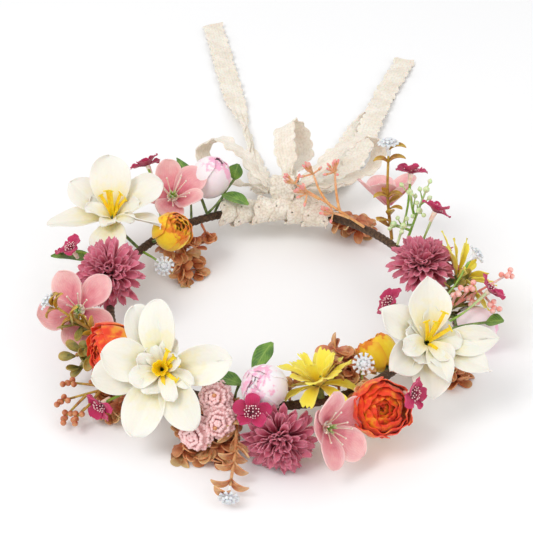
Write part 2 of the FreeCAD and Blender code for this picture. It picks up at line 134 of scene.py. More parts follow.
def cad_solids(node):
    """The faces of each solid in a CAD node. Its mesh shares no points between faces."""
    mesh = frame["nodes"][node].data
    points = np.array([vertex.co for vertex in mesh.vertices]) / MM
    label = groups(len(points), [tuple(polygon.vertices) for polygon in mesh.polygons])
    members, polygons = {}, {}
    for index, name in enumerate(label):
        members.setdefault(name, []).append(index)
    for polygon in mesh.polygons:
        polygons.setdefault(label[polygon.vertices[0]], []).append(polygon)
    names = sorted(polygons)
    seen, links = {}, []
    for number, name in enumerate(names):
        for corner in np.round(points[members[name]], 2):
            links.append((seen.setdefault(tuple(corner), number), number))
    solids = {}
    for name, solid in zip(names, groups(len(names), links)):
        group = polygons[name]
        face = Face(
            points[members[name]],
            np.array([polygon.area for polygon in group]) / MM**2,
            np.array([polygon.center for polygon in group]) / MM,
            np.array([polygon.normal for polygon in group]),
        )
        solids.setdefault(solid, []).append(face)
    return list(solids.values())


def rods_of(faces):
    """A solid's thin round stems as (start, end), the longest first. Parts of one stem count as one."""
    stems = []
    for start, end, radius in sorted(
            (face.line() for face in faces if face.rod), key=lambda line: -np.linalg.norm(line[1] - line[0])):
        if radius > 1.6 or np.linalg.norm(end - start) < 2:
            continue
        for stem in stems:
            way = unit(stem[1] - stem[0])
            if all(np.linalg.norm(np.cross(p - stem[0], way)) < 0.3 for p in (start, end)):
                marks = [(p - stem[0]) @ way for p in (start, end, *stem)]
                stem[:] = [stem[0] + way * min(marks), stem[0] + way * max(marks)]
                break
        else:
            stems.append([start, end])
    return sorted(stems, key=lambda stem: -np.linalg.norm(stem[1] - stem[0]))


def broad_face(faces):
    """A solid's largest flat face."""
    return max((face for face in faces if face.flat), key=lambda face: face.area)


def seat_of(faces, stemmed=False):
    """Where a bloom sits and which way it looks, from its largest flat face.

    A stemmed bloom looks away from its stem; any other looks towards the bulk of its solid.
    """
    flat = broad_face(faces)
    way = unit(flat.normal)
    if stemmed:
        toward = flat.middle - np.mean(rods_of(faces)[0], axis=0)
    else:
        toward = np.vstack([face.points for face in faces]).mean(0) - flat.middle
    if toward @ way < 0:
        way = -way
    if stemmed:
        return flat.middle, way
    level = [face.middle @ way for face in faces if face.flat and abs(unit(face.normal) @ way) > 0.99]
    return flat.middle + way * (min(level) - flat.middle @ way), way


def placement(x_way, y_way, z_way, origin):
    """Takes local millimetres to the row frame's, given the local axes' directions and origin."""
    matrix = np.eye(4)
    matrix[:3] = np.column_stack([x_way, y_way, z_way, origin])
    return matrix


def bloom_matrix(seat, way, spin=0.0):
    """A bloom's placement: z looks the bloom's way, x is level, and spin is in degrees."""
    right = np.cross(UP, way)
    right = unit(right) if np.linalg.norm(right) > 1e-6 else np.array([1.0, 0.0, 0.0])
    back = np.cross(way, right)
    c, s = math.cos(math.radians(spin)), math.sin(math.radians(spin))
    return placement(right * c + back * s, back * c - right * s, way, seat)


def leaning(length, degrees):
    """How far out and how far up a stalk reaches when it leans that much from upright."""
    return length * math.sin(math.radians(degrees)), length * math.cos(math.radians(degrees))


def rotated(vector, axis, degrees):
    c, s = math.cos(math.radians(degrees)), math.sin(math.radians(degrees))
    return vector * c + np.cross(axis, vector) * s + axis * (axis @ vector) * (1 - c)


def moved(points, matrix):
    return points @ matrix[:3, :3].T + matrix[:3, 3]


def smooth_path(points, count):
    """Points spread evenly along a smooth curve through the given ones."""
    points = np.asarray(points, float)
    padded = np.vstack([2 * points[0] - points[1], points, 2 * points[-1] - points[-2]])
    fine = []
    for a, b, c, d in zip(padded, padded[1:], padded[2:], padded[3:]):
        t = np.linspace(0, 1, 16, endpoint=False)[:, None]
        square, cube = (2 * a - 5 * b + 4 * c - d) * t**2, (3 * b - a - 3 * c + d) * t**3
        fine.append(0.5 * (2 * b + (c - a) * t + square + cube))
    fine = np.vstack([*fine, points[-1:]])
    run = np.concatenate([[0], np.cumsum(np.linalg.norm(np.diff(fine, axis=0), axis=1))])
    even = np.linspace(0, run[-1], count)
    return np.column_stack([np.interp(even, run, fine[:, k]) for k in range(3)])


def bowed(start, end, bow, count):
    """Points along a stem whose middle is pushed aside by bow."""
    return smooth_path([start, (start + end) / 2 + bow, end], count)


# ---------------------------------------------------------------- building meshes


class Shape:
    """A mesh under construction, in millimetres. Each point's shade is (along, across, tone)."""

    def __init__(self):
        self.points, self.shades, self.faces = [], [], []
        self.count = 0

    def add(self, points, shades, faces):
        self.points.append(points)
        self.shades.append(shades)
        self.faces += [tuple(self.count + corner for corner in face) for face in faces]
        self.count += len(points)

    def sheet(self, grid, shades, thickness, matrix=None, holes=None):
        """A thin closed skin over a grid of points."""
        rows, columns = grid.shape[:2]
        normals = np.cross(np.gradient(grid, axis=0), np.gradient(grid, axis=1))
        normals /= np.maximum(np.linalg.norm(normals, axis=2, keepdims=True), 1e-9)
        both = np.vstack([(grid + normals * side * thickness / 2).reshape(-1, 3) for side in (1, -1)])
        under, faces = rows * columns, []
        kept = np.ones((rows + 1, columns + 1), bool)
        kept[[0, -1], :] = kept[:, [0, -1]] = False
        if holes is not None:
            kept[1:-1, 1:-1] = ~holes
        for i in range(rows - 1):
            for j in range(columns - 1):
                if not kept[i + 1, j + 1]:
                    continue
                a, b = i * columns + j, i * columns + j + 1
                c, d = b + columns, a + columns
                faces += [(a, d, c, b), (a + under, b + under, c + under, d + under)]
                for open_side, (p, q) in (
                    (not kept[i, j + 1], (a, b)),
                    (not kept[i + 2, j + 1], (c, d)),
                    (not kept[i + 1, j], (d, a)),
                    (not kept[i + 1, j + 2], (b, c)),
                ):
                    if open_side:
                        faces.append((p, q, q + under, p + under))
        if matrix is not None:
            both = moved(both, matrix)
        self.add(both, np.vstack([shades.reshape(-1, 3)] * 2), faces)

    def petal(self, length, width, lift, cup, thickness=FINE_FABRIC, matrix=None, **form):
        """A petal as petal_grid draws it. Gives back its grid as it was before the matrix moved it."""
        grid, shades = petal_grid(length, width, lift, cup, **form)
        self.sheet(grid, shades, thickness, matrix)
        return grid

    def tube(self, path, radii, tone=0.5, sides=8, matrix=None):
        """A round bar along a path, with a radius for each point, closed at both ends."""
        path = np.asarray(path, float)
        radii = np.broadcast_to(radii, len(path))
        tangents = np.gradient(path, axis=0)
        tangents /= np.linalg.norm(tangents, axis=1, keepdims=True)
        side = unit(np.cross(tangents[0], [0.31, 0.87, 0.39]))
        rings = []
        for point, tangent, radius in zip(path, tangents, radii):
            side = unit(side - tangent * (side @ tangent))
            other = np.cross(tangent, side)
            turn = np.linspace(0, 2 * math.pi, sides, endpoint=False)
            ring = np.outer(np.cos(turn), side) + np.outer(np.sin(turn), other)
            rings.append(point + ring * radius)
        points = np.vstack(rings)
        share = np.repeat(np.linspace(0, 1, len(path)), sides)
        across = np.tile(np.sin(turn), len(path))
        faces = [tuple(range(sides))[::-1], tuple((len(path) - 1) * sides + k for k in range(sides))]
        for i in range(len(path) - 1):
            for k in range(sides):
                a, b = i * sides + k, i * sides + (k + 1) % sides
                faces.append((a, b, b + sides, a + sides))
        shades = np.column_stack([share, across, np.full(len(points), tone)])
        self.add(points if matrix is None else moved(points, matrix), shades, faces)

    def bead(self, start, end, radius, tone=0.5, sides=10, matrix=None, blunt=0.5):
        """A rounded bud or berry between two points."""
        share = (1 - np.cos(np.linspace(0.12, math.pi - 0.12, 9))) / 2
        path = np.asarray(start) + np.outer(share, np.asarray(end, float) - np.asarray(start, float))
        self.tube(path, radius * (4 * share * (1 - share)) ** blunt, tone, sides, matrix=matrix)

    def finish(self, name, look, slot, nodes=(), body="crown"):
        """Makes the piece. body is None for one that joins no body."""
        mesh = bpy.data.meshes.new(name)
        points = np.vstack(self.points)
        # Whatever would dip below the surface that the crown rests on lies along it instead.
        low = np.minimum(points[:, 2] - REST, 0)
        points[:, 2] = np.maximum(points[:, 2], REST) - REST * 0.8 * (1 - np.exp(low / 2))
        mesh.from_pydata((points * MM).tolist(), [], self.faces)
        mesh.polygons.foreach_set("use_smooth", [True] * len(mesh.polygons))
        mesh.set_sharp_from_angle(angle=math.radians(55))
        shade = mesh.attributes.new("shade", "FLOAT_VECTOR", "POINT")
        shade.data.foreach_set("vector", np.vstack(self.shades).ravel())
        mesh.materials.append(look)
        piece = bpy.data.objects.new(name, mesh)
        bpy.context.scene.collection.objects.link(piece)
        if body:
            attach(piece, body)
        if nodes:
            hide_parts(*nodes)
        return piece


def petal_grid(length, width, lift, cup, base=0.2, peak=0.6, end=0.3, point=0.5, ruffle=0.0, waves=2.0,
               phase=0.0, notch=0.0, teeth=3, split=0.0, crease=0.0, sway=0.0, tone=0.5, rows=13, columns=9):
    """A petal's grid and shades. It grows along +x from the origin and curves up towards +z.

    lift is its slope in degrees at the base and at the tip; cup is half the angle of its hollow across;
    base, peak, end and point give its outline, with a point of 0.5 for a round tip and 1 for a sharp one.
    notch and teeth cut its tip, and split parts it in the middle.
    """
    s, t = np.meshgrid(1 - np.linspace(1, 0, rows) ** 1.5, np.linspace(-1, 1, columns), indexing="ij")
    reach = s
    if notch:
        saw = np.abs(((t + 1) / 2 * teeth) % 1 - 0.5) * 2
        reach = reach * (1 - notch * saw * s**5)
    if split:
        reach = reach * (1 - split * np.exp(-((t / 0.2) ** 2)) * s**6)
    rising = base + (1 - base) * np.sin(math.pi / 2 * np.minimum(s / peak, 1)) ** 1.2
    falling = end + (1 - end) * (1 - np.clip((s - peak) / (1 - peak), 0, 0.997) ** 2) ** point
    half = width / 2 * np.where(s <= peak, rising, falling)
    fine = np.linspace(0, 1, 60)
    slope = np.radians(lift[0] + (lift[1] - lift[0]) * fine)
    step = length / (len(fine) - 1)
    run = np.concatenate([[0], np.cumsum(np.cos(slope[:-1]) * step)])
    climb = np.concatenate([[0], np.cumsum(np.sin(slope[:-1]) * step)])
    x, z = np.interp(reach, fine, run), np.interp(reach, fine, climb)
    angle = np.interp(reach, fine, slope)
    hollow = np.maximum(cup[0] + (cup[1] - cup[0]) * s, 0.02)
    y = half * np.sin(hollow * t) / hollow
    out = half * (1 - np.cos(hollow * t)) / hollow
    out = out + ruffle * s * np.abs(t) ** 1.5 * np.sin(waves * 2 * math.pi * s + phase + t * 1.5)
    out = out + crease * np.exp(-((t / 0.18) ** 2)) * np.sin(math.pi * s)
    y = y + sway * s**2
    grid = np.stack([x - np.sin(angle) * out, y, z + np.cos(angle) * out], axis=2)
    shades = np.stack([reach, t, np.full_like(s, tone)], axis=2)
    return grid, shades


def ring_matrix(angle, radius, height, twist=0.0):
    """Puts a petal round its bloom: angle in degrees, and a twist about the petal's own length."""
    a, w = math.radians(angle), math.radians(twist)
    spin = np.array([[math.cos(a), -math.sin(a), 0], [math.sin(a), math.cos(a), 0], [0, 0, 1]])
    roll = np.array([[1, 0, 0], [0, math.cos(w), -math.sin(w)], [0, math.sin(w), math.cos(w)]])
    matrix = np.eye(4)
    matrix[:3, :3] = spin @ roll
    matrix[:3, 3] = spin @ [radius, 0, height]
    return matrix


# ---------------------------------------------------------------- looks


def paint(red, green, blue):
    """A display colour, 0 to 255, as the linear colour that a shader takes."""
    values = [channel / 255 for channel in (red, green, blue)]
    return (*[v / 12.92 if v <= 0.04045 else ((v + 0.055) / 1.055) ** 2.4 for v in values], 1.0)


class Look:
    """A node material under construction."""

    def __init__(self, name, **finish):
        self.material = bpy.data.materials.new(name)
        self.material.use_nodes = True
        self.tree = self.material.node_tree
        self.shader = self.tree.nodes["Principled BSDF"]
        for socket, value in finish.items():
            self.shader.inputs[socket.replace("_", " ")].default_value = value
        self.place = self.node("ShaderNodeTexCoord").outputs["Object"]
        parts = self.node("ShaderNodeSeparateXYZ", {"Vector": self.node(
            "ShaderNodeAttribute", attribute_name="shade").outputs["Vector"]})
        self.along, self.across, self.tone = parts.outputs

    def node(self, kind, inputs=None, **settings):
        made = self.tree.nodes.new(kind)
        for setting, value in settings.items():
            setattr(made, setting, value)
        for socket, value in (inputs or {}).items():
            if isinstance(value, bpy.types.NodeSocket):
                self.tree.links.new(value, made.inputs[socket])
            else:
                made.inputs[socket].default_value = value
        return made

    def math(self, operation, first, second=0.0, third=0.0):
        made = self.node("ShaderNodeMath", {0: first, 1: second, 2: third}, operation=operation)
        return made.outputs[0]

    def times(self, first, second):
        return self.math("MULTIPLY", first, second)

    def noise(self, size, detail=3.0):
        """Cloudy noise with spots of about size millimetres."""
        inputs = {"Vector": self.place, "Scale": 1 / (size * MM), "Detail": detail}
        return self.node("ShaderNodeTexNoise", inputs).outputs["Fac"]

    def cells(self, size):
        """The distance from each point to the middle of its cell, for cells of about size millimetres."""
        inputs = {"Vector": self.place, "Scale": 1 / (size * MM)}
        return self.node("ShaderNodeTexVoronoi", inputs).outputs["Distance"]

    def mix(self, share, first, second):
        made = self.node("ShaderNodeMix", data_type="RGBA")
        for socket, value in zip((made.inputs[0], made.inputs[6], made.inputs[7]), (share, first, second)):
            if isinstance(value, bpy.types.NodeSocket):
                self.tree.links.new(value, socket)
            else:
                socket.default_value = value
        return made.outputs[2]

    def ramp(self, value, stops):
        made = self.node("ShaderNodeValToRGB", {"Fac": value})
        elements = made.color_ramp.elements
        for element, (position, colour) in zip(elements, stops):
            element.position, element.color = position, colour
        for position, colour in stops[2:]:
            elements.new(position).color = colour
        return made.outputs["Color"]

    def span(self, value, low, high, to_low=0.0, to_high=1.0):
        inputs = {"Value": value, "From Min": low, "From Max": high, "To Min": to_low, "To Max": to_high}
        return self.node("ShaderNodeMapRange", inputs).outputs["Result"]

    def lines(self, count, wobble=0.35):
        """Fine ridges that run along a petal or leaf, count of them from edge to edge."""
        bend = self.times(self.noise(3.0), wobble)
        place = self.math("ADD", self.across, bend)
        wave = self.math("SINE", self.times(place, count * math.pi))
        return self.math("MULTIPLY_ADD", wave, 0.5, 0.5)

    def done(self, colour, height=None, depth=0.1, roughness=None):
        self.tree.links.new(colour, self.shader.inputs["Base Color"])
        if height is not None:
            bump = self.node("ShaderNodeBump", {"Height": height, "Strength": 0.8, "Distance": depth * MM})
            self.tree.links.new(bump.outputs["Normal"], self.shader.inputs["Normal"])
        if roughness is not None:
            self.tree.links.new(roughness, self.shader.inputs["Roughness"])
        return self.material


def petal_look(name, stops, edge, dark, veins=12, mottle=0.5, edge_share=0.6, glow=0.12, sheen=0.3,
               depth=0.12, patchy=0.14):
    """Printed fabric petals: colours that run from base to tip, tinted edges, veins, blotches, a weave."""
    dark = paint(*dark)
    look = Look(name, Roughness=0.6, Sheen_Weight=sheen, Sheen_Roughness=0.4,
                Subsurface_Weight=glow, Subsurface_Scale=0.002)
    cloud = look.noise(4.0, 4.0)
    place = look.math("ADD", look.along, look.span(cloud, 0.3, 0.7, -patchy, patchy))
    colour = look.ramp(place, [(position, paint(*shade)) for position, shade in stops])
    rim = look.math("POWER", look.math("ABSOLUTE", look.across), 4.0)
    colour = look.mix(look.times(rim, edge_share), colour, paint(*edge))
    veining = look.lines(veins)
    shade = look.times(look.span(veining, 0.55, 0.0), look.span(look.along, 1.0, 0.1, 0.1, 0.55))
    colour = look.mix(look.times(shade, mottle), colour, dark)
    colour = look.mix(look.span(look.tone, 0.0, 1.0, 0.0, 0.3), colour, dark)
    weave = look.noise(0.35, 2.0)
    height = look.math("ADD", look.times(veining, 0.6), look.times(weave, 0.4))
    return look.done(colour, height, depth, look.span(cloud, 0.3, 0.7, 0.5, 0.75))


def plastic_look(name, light, dark, tip=None, glow=0.25, gloss=0.38):
    """Moulded plastic: cloudy translucent colour, a different tint at the tips and small mould marks."""
    look = Look(name, Subsurface_Weight=glow, Subsurface_Scale=0.002, Coat_Weight=0.15, Coat_Roughness=0.3)
    cloud = look.noise(2.5)
    colour = look.mix(look.span(cloud, 0.35, 0.65), paint(*light), paint(*dark))
    if tip:
        share = look.times(look.span(look.along, 0.45, 1.0), look.span(look.tone, 0.0, 1.0, 0.5, 1.0))
        colour = look.mix(share, colour, paint(*tip))
    marks = look.math("ADD", look.noise(0.5), look.times(look.lines(6), 0.6))
    return look.done(colour, marks, 0.08, look.span(cloud, 0.3, 0.7, gloss - 0.08, gloss + 0.12))


def leaf_look():
    """Printed green fabric leaves with a pale midrib and side veins."""
    look = Look("leaf_green", Roughness=0.5, Sheen_Weight=0.15,
                Subsurface_Weight=0.08, Subsurface_Scale=0.001)
    cloud = look.noise(5.0, 4.0)
    colour = look.mix(look.span(cloud, 0.35, 0.65), paint(62, 108, 26), paint(118, 158, 56))
    side = look.math("ABSOLUTE", look.across)
    slant = look.math("MULTIPLY_ADD", side, -0.45, look.along)
    veins = look.math("POWER", look.math("MULTIPLY_ADD", look.math(
        "SINE", look.times(slant, 44.0)), 0.5, 0.5), 6.0)
    midrib = look.span(side, 0.12, 0.02)
    lines = look.math("MAXIMUM", look.times(veins, 0.55), midrib)
    colour = look.mix(look.times(lines, 0.45), colour, paint(165, 190, 95))
    height = look.math("SUBTRACT", look.times(look.noise(0.4), 0.3), lines)
    return look.done(colour, height, 0.15, look.span(cloud, 0.3, 0.7, 0.42, 0.6))


def tape_look():
    """Brown paper tape wound round the wire: streaks along each turn, paler towards each turn's raised edge,
    and painted shade in the groove at the foot of each turn.
    """
    look = Look("paper_tape", Roughness=0.85, Sheen_Weight=0.1)
    streak = look.noise(1.2, 5.0)
    stops = [(0.3, paint(52, 36, 24)), (0.72, paint(112, 86, 62)), (0.5, paint(78, 57, 40))]
    colour = look.ramp(streak, stops)
    # Paler towards the raised edge of each turn.
    colour = look.mix(look.span(look.across, 0.75, 1.0, 0.0, 0.5), colour, paint(140, 114, 88))
    # Painted shade: near black at the foot of each turn, in the groove under the edge of the turn before.
    colour = look.mix(look.span(look.across, 0.12, 0.0, 0.0, 0.8), colour, paint(30, 20, 13))
    height = look.math("ADD", streak, look.times(look.noise(0.4), 0.5))
    return look.done(colour, height, 0.25, look.span(streak, 0.3, 0.7, 0.75, 0.95))


def lace_look(name, stitch, shading):
    """Cream crochet lace: rows of knotted cotton, stitch millimetres apart, shaded between the stitches."""
    look = Look(name, Roughness=0.85, Sheen_Weight=0.3, Sheen_Roughness=0.5,
                Subsurface_Weight=0.1, Subsurface_Scale=0.002)
    knots = look.cells(stitch)
    gaps = look.span(knots, 0.4, 0.8)
    cloud = look.noise(9.0, 4.0)
    colour = look.mix(look.span(cloud, 0.35, 0.65), paint(247, 240, 227), paint(234, 223, 206))
    colour = look.mix(look.times(gaps, shading), colour, paint(172, 148, 120))
    rows = look.math("SINE", look.times(look.across, 22.0))
    shade = look.times(look.span(rows, 0.2, -1.0), look.span(knots, 0.3, 0.7, 0.02, 0.16))
    colour = look.mix(shade, colour, paint(196, 178, 152))
    height = look.math("SUBTRACT", look.times(rows, 0.25), look.times(knots, 1.4))
    height = look.math("ADD", height, look.times(look.noise(0.4), 0.3))
    return look.done(colour, height, 0.2, look.span(knots, 0.2, 0.7, 0.75, 0.95))


def steel_look():
    look = Look("steel_wire", Metallic=1.0)
    scratches = look.noise(0.6, 5.0)
    colour = look.mix(look.span(scratches, 0.3, 0.7), paint(150, 148, 145), paint(96, 94, 92))
    return look.done(colour, scratches, 0.03, look.span(scratches, 0.3, 0.7, 0.25, 0.5))


LACE = lace_look("crochet_lace", 1.5, 0.12)
CROCHET = lace_look("crochet_lace_open", 1.3, 0.34)
TAPE, STEEL, LEAF = tape_look(), steel_look(), leaf_look()
IVORY = petal_look(
    "ivory_petals",
    [(0.0, (236, 224, 136)), (0.34, (240, 231, 190)), (0.62, (238, 234, 220)), (1.0, (236, 233, 225))],
    (243, 240, 233), (206, 200, 182), veins=9, mottle=0.14, glow=0.1, depth=0.08)
MAUVE = petal_look(
    "mauve_petals", [(0.0, (138, 26, 52)), (0.45, (200, 76, 106)), (1.0, (230, 132, 154))], (242, 172, 184),
    (128, 22, 50), veins=8, mottle=0.65, sheen=0.1)
ORANGE = petal_look(
    "orange_petals",
    [(0.0, (252, 190, 24)), (0.6, (250, 158, 18)), (0.82, (247, 100, 14)), (1.0, (236, 58, 16))],
    (246, 84, 20), (232, 66, 12), veins=5, mottle=0.3, glow=0.2, patchy=0.4)
YELLOW = petal_look(
    "yellow_petals",
    [(0.0, (246, 196, 20)), (0.6, (255, 222, 34)), (0.9, (252, 200, 24)), (1.0, (232, 120, 22))],
    (236, 140, 22), (236, 170, 14), veins=6, mottle=0.35, patchy=0.2)
PEONY = petal_look(
    "peony_petals", [(0.0, (246, 243, 240)), (0.84, (248, 241, 241)), (1.0, (247, 176, 204))],
    (250, 244, 244), (248, 184, 208), veins=3, mottle=0.14, sheen=0.1, patchy=0.3)
PINK = petal_look(
    "pink_petals", [(0.0, (196, 80, 104)), (0.34, (228, 142, 150)), (1.0, (243, 196, 192))],
    (250, 220, 214), (212, 104, 124), veins=13, mottle=0.55, edge_share=0.85, patchy=0.22)
LEMON = petal_look(
    "lemon_petals", [(0.0, (228, 190, 20)), (0.4, (246, 224, 44)), (1.0, (252, 238, 84))], (254, 244, 130),
    (220, 188, 22), veins=11, mottle=0.4)
FUCHSIA = petal_look(
    "fuchsia_petals", [(0.0, (132, 6, 52)), (0.5, (186, 16, 80)), (1.0, (206, 36, 100))], (214, 64, 124),
    (116, 4, 44), veins=8, mottle=0.7)
BLUSH = plastic_look(
    "pompom_plastic", (255, 220, 218), (252, 202, 202), tip=(255, 228, 226), glow=0.0, gloss=0.6)
STAMEN = plastic_look("yellow_stamens", (255, 222, 24), (250, 200, 10), gloss=0.5, glow=0.35)
AMBER = plastic_look("amber_plastic", (214, 160, 108), (182, 108, 62), tip=(224, 190, 136), glow=0.35)
WHITE = plastic_look("white_plastic", (246, 246, 246), (228, 229, 233), gloss=0.4, glow=0.1)
PALE = plastic_look("pale_plastic", (244, 226, 208), (226, 190, 168), tip=(248, 240, 224))
GREEN = plastic_look("green_plastic", (124, 146, 74), (74, 100, 44), glow=0.1)
LIME = plastic_look("lime_plastic", (150, 186, 70), (118, 160, 52), tip=(230, 238, 196))
BERRY = plastic_look("berry_plastic", (226, 238, 196), (196, 218, 150), gloss=0.3)
OLIVE = plastic_look("olive_plastic", (150, 142, 58), (92, 92, 36), tip=(186, 164, 84), glow=0.3)
RUST = plastic_look("rust_plastic", (204, 126, 82), (164, 78, 42), tip=(216, 160, 108), glow=0.3)
OCHRE = plastic_look("ochre_plastic", (186, 146, 44), (150, 96, 30), tip=(206, 178, 60), glow=0.3)
PEACH = plastic_look("peach_plastic", (240, 190, 128), (222, 150, 84), tip=(246, 178, 150), glow=0.3)
BUD = plastic_look("coral_buds", (248, 196, 184), (244, 156, 146), tip=(246, 120, 124), glow=0.3)
CORAL = plastic_look("coral_plastic", (250, 190, 180), (242, 134, 120), tip=(253, 218, 210), glow=0.3)


# ---------------------------------------------------------------- blooms

# The petals of the three big ivory blooms. Each row: angle round the bloom in degrees, length, width,
# slope at the base and at the tip, twist about its own length, height of its foot, and split of its tip.
WHITE_PETALS = {
    "white_flower_back_left": [
        (168, 31, 21, 36, 22, 0, 0, 0), (288, 31, 22, 18, -5, 0, 0, 0), (206, 36, 18, 14, -8, 8, 0, 0),
        (38, 34, 26, 40, 14, 0, 1, 0), (106, 34, 26, 50, 30, 0, 2, 0), (-20, 32, 16, 34, 0, -42, 2, 0),
    ],
    "white_flower_front_left": [
        (122, 34, 19, 30, 10, 0, 0, 0), (196, 34, 22, 18, -2, 0, 0, 0), (254, 35, 23, 24, -8, 0, 0, 0),
        (94, 35, 21, 36, 14, -8, 2, 0), (176, 30, 23, 32, 8, 0, 2, 0), (13, 35, 22, 22, -4, 12, 2, 0.22),
        (-50, 34, 21, 26, -6, 6, 1, 0),
    ],
    "white_flower_right": [
        (140, 32, 19, 34, 20, 0, 0, 0), (204, 27, 20, 32, 12, 0, 0, 0), (258, 29, 22, 26, 2, 0, 0, 0),
        (84, 34, 24, 42, 20, 0, 2, 0), (-44, 34, 18, 30, 0, -14, 2, 0), (-8, 35, 17, 30, 4, 10, 2, 0.3),
        (-86, 26, 14, 50, 14, 0, 3, 0),
    ],
}


def white_bloom(name, stamen_ways, trumpet, point, frill):
    """An ivory bloom. trumpet and frill count the small petals at its heart.

    point shapes the tips of the large ones, and stamen_ways gives each stamen's angle, lean and length.
    """
    chance = dice(name)
    seat, way = seat_of(cad_solids(f"{name}_petals")[0])
    place = bloom_matrix(seat, way)
    petals = Shape()
    for angle, length, width, foot, tip, twist, height, split in WHITE_PETALS[name]:
        petals.petal(
            length, width, (foot, tip), (1.05, 0.3), FABRIC, base=0.24, peak=0.58, end=0.0, split=split,
            point=point * chance.uniform(0.9, 1.2), ruffle=1.9, waves=chance.uniform(0.8, 1.5),
            phase=chance.uniform(0, 6), crease=-1.0, sway=chance.uniform(-2, 2), tone=chance.uniform(0, 0.6),
            rows=22, columns=15, matrix=place @ ring_matrix(angle, 2.2, 1.0 + height * 0.8, twist))
    for k in range(frill):
        petals.petal(
            chance.uniform(13, 20), chance.uniform(9, 13), (chance.uniform(30, 62), chance.uniform(0, 50)),
            (1.1, 0.4), base=0.35, peak=0.66, end=0.2, notch=0.05, teeth=1, ruffle=1.6, waves=1.6,
            phase=chance.uniform(0, 6), tone=chance.uniform(0, 0.5), rows=16, columns=13,
            matrix=place @ ring_matrix(30 + k * 360 / frill + chance.uniform(-10, 10), 1.8, 2.4))
    petals.finish(f"{name}.petals", IVORY, "ivory_fabric", [f"{name}_petals"], f"{name}_head")
    stamens = Shape()
    for k in range(trumpet):
        stamens.petal(7.5, 3.6, (80, 60), (1.2, 1.0), 0.5, place @ ring_matrix(k * 360 / 7, 1.5, 2.5),
                      base=0.8, peak=0.5, end=0.7, tone=0.8, rows=7, columns=5)
    for turn, lean, length in stamen_ways:
        spot = place @ ring_matrix(turn, 1.2, 3.0)
        grid = stamens.petal(
            length, 2.0, (88 - lean * 0.5, 88 - lean * 1.3), (0.7, 0.3), MOULDED, spot,
            base=0.8, peak=0.5, end=0.8, tone=chance.uniform(0, 0.8), rows=10, columns=5)
        tip, reach = grid[-1].mean(0), chance.uniform(1.5, 2.4)
        anther = [tip - [0, reach, 0.3], tip, tip + [0, reach, 0.3]]
        stamens.tube(anther, [0.4, 0.5, 0.4], 0.6, 6, matrix=spot)
    stamens.finish(f"{name}.stamens", STAMEN, "yellow_stamen", [f"{name}_stamens"], f"{name}_head")


def blossom(name, spin, rise):
    """A pink five-petal blossom: pale stamens on a washer round a green tuft. rise closes its petals."""
    chance = dice(name)
    seat, way = seat_of(cad_solids(f"{name}_petals")[0])
    place = bloom_matrix(seat, way, spin)
    petals = Shape()
    for k in range(5):
        petals.petal(
            chance.uniform(21, 23), chance.uniform(17, 19),
            (chance.uniform(22, 34) + rise, chance.uniform(10, 46) + rise), (0.8, 0.35), FABRIC,
            base=0.24, end=0.0, point=chance.uniform(0.45, 0.6), ruffle=0.8, waves=1.1,
            phase=chance.uniform(0, 6), sway=chance.uniform(-1, 1), tone=chance.uniform(0, 0.7),
            rows=15, columns=11, matrix=place @ ring_matrix(
                k * 72 + chance.uniform(-5, 5), 2.0, 1.0 + 0.5 * (k % 2), chance.uniform(-10, 10)))
    petals.finish(f"{name}.petals", PINK, "pink_fabric", [f"{name}_petals"])
    stamens = Shape()
    for k in range(9):
        turn, lean = k * 40 + chance.uniform(-12, 12), chance.uniform(20, 50)
        out, up = leaning(chance.uniform(9, 12.5), lean)
        bend = [[2.0 + out * q**1.5, 0, 2.5 + up * q] for q in np.linspace(0, 1, 6)]
        spot = place @ ring_matrix(turn, 0, 0)
        stamens.tube(bend, np.linspace(0.42, 0.28, 6), 0.2, 6, matrix=spot)
        end = np.array(bend[-1])
        stamens.bead(end - [0.3, 0, 0.5], end + [0.3, 0, 0.8], 0.6, 0.9, 6, matrix=spot)
    washer = [[0, 0, z] for z in (2.0, 2.6, 3.2, 3.3)]
    stamens.tube(washer, [2.0, 3.4, 3.4, 2.6], 0.4, 14, matrix=place)
    stamens.finish(f"{name}.stamens", PALE, "pale_green_plastic", [f"{name}_core"])
    tuft = Shape()
    for k in range(10):
        turn, lean = chance.uniform(0, 360), chance.uniform(10, 50)
        out, up = leaning(chance.uniform(3, 5), lean)
        tuft.bead([0.6, 0, 3.0], [out + 0.8, 0, 3.2 + up], 0.65, chance.uniform(0, 1), 6,
                  matrix=place @ ring_matrix(turn, 0, 0))
    tuft.finish(f"{name}.tuft", LIME, "green_plastic")


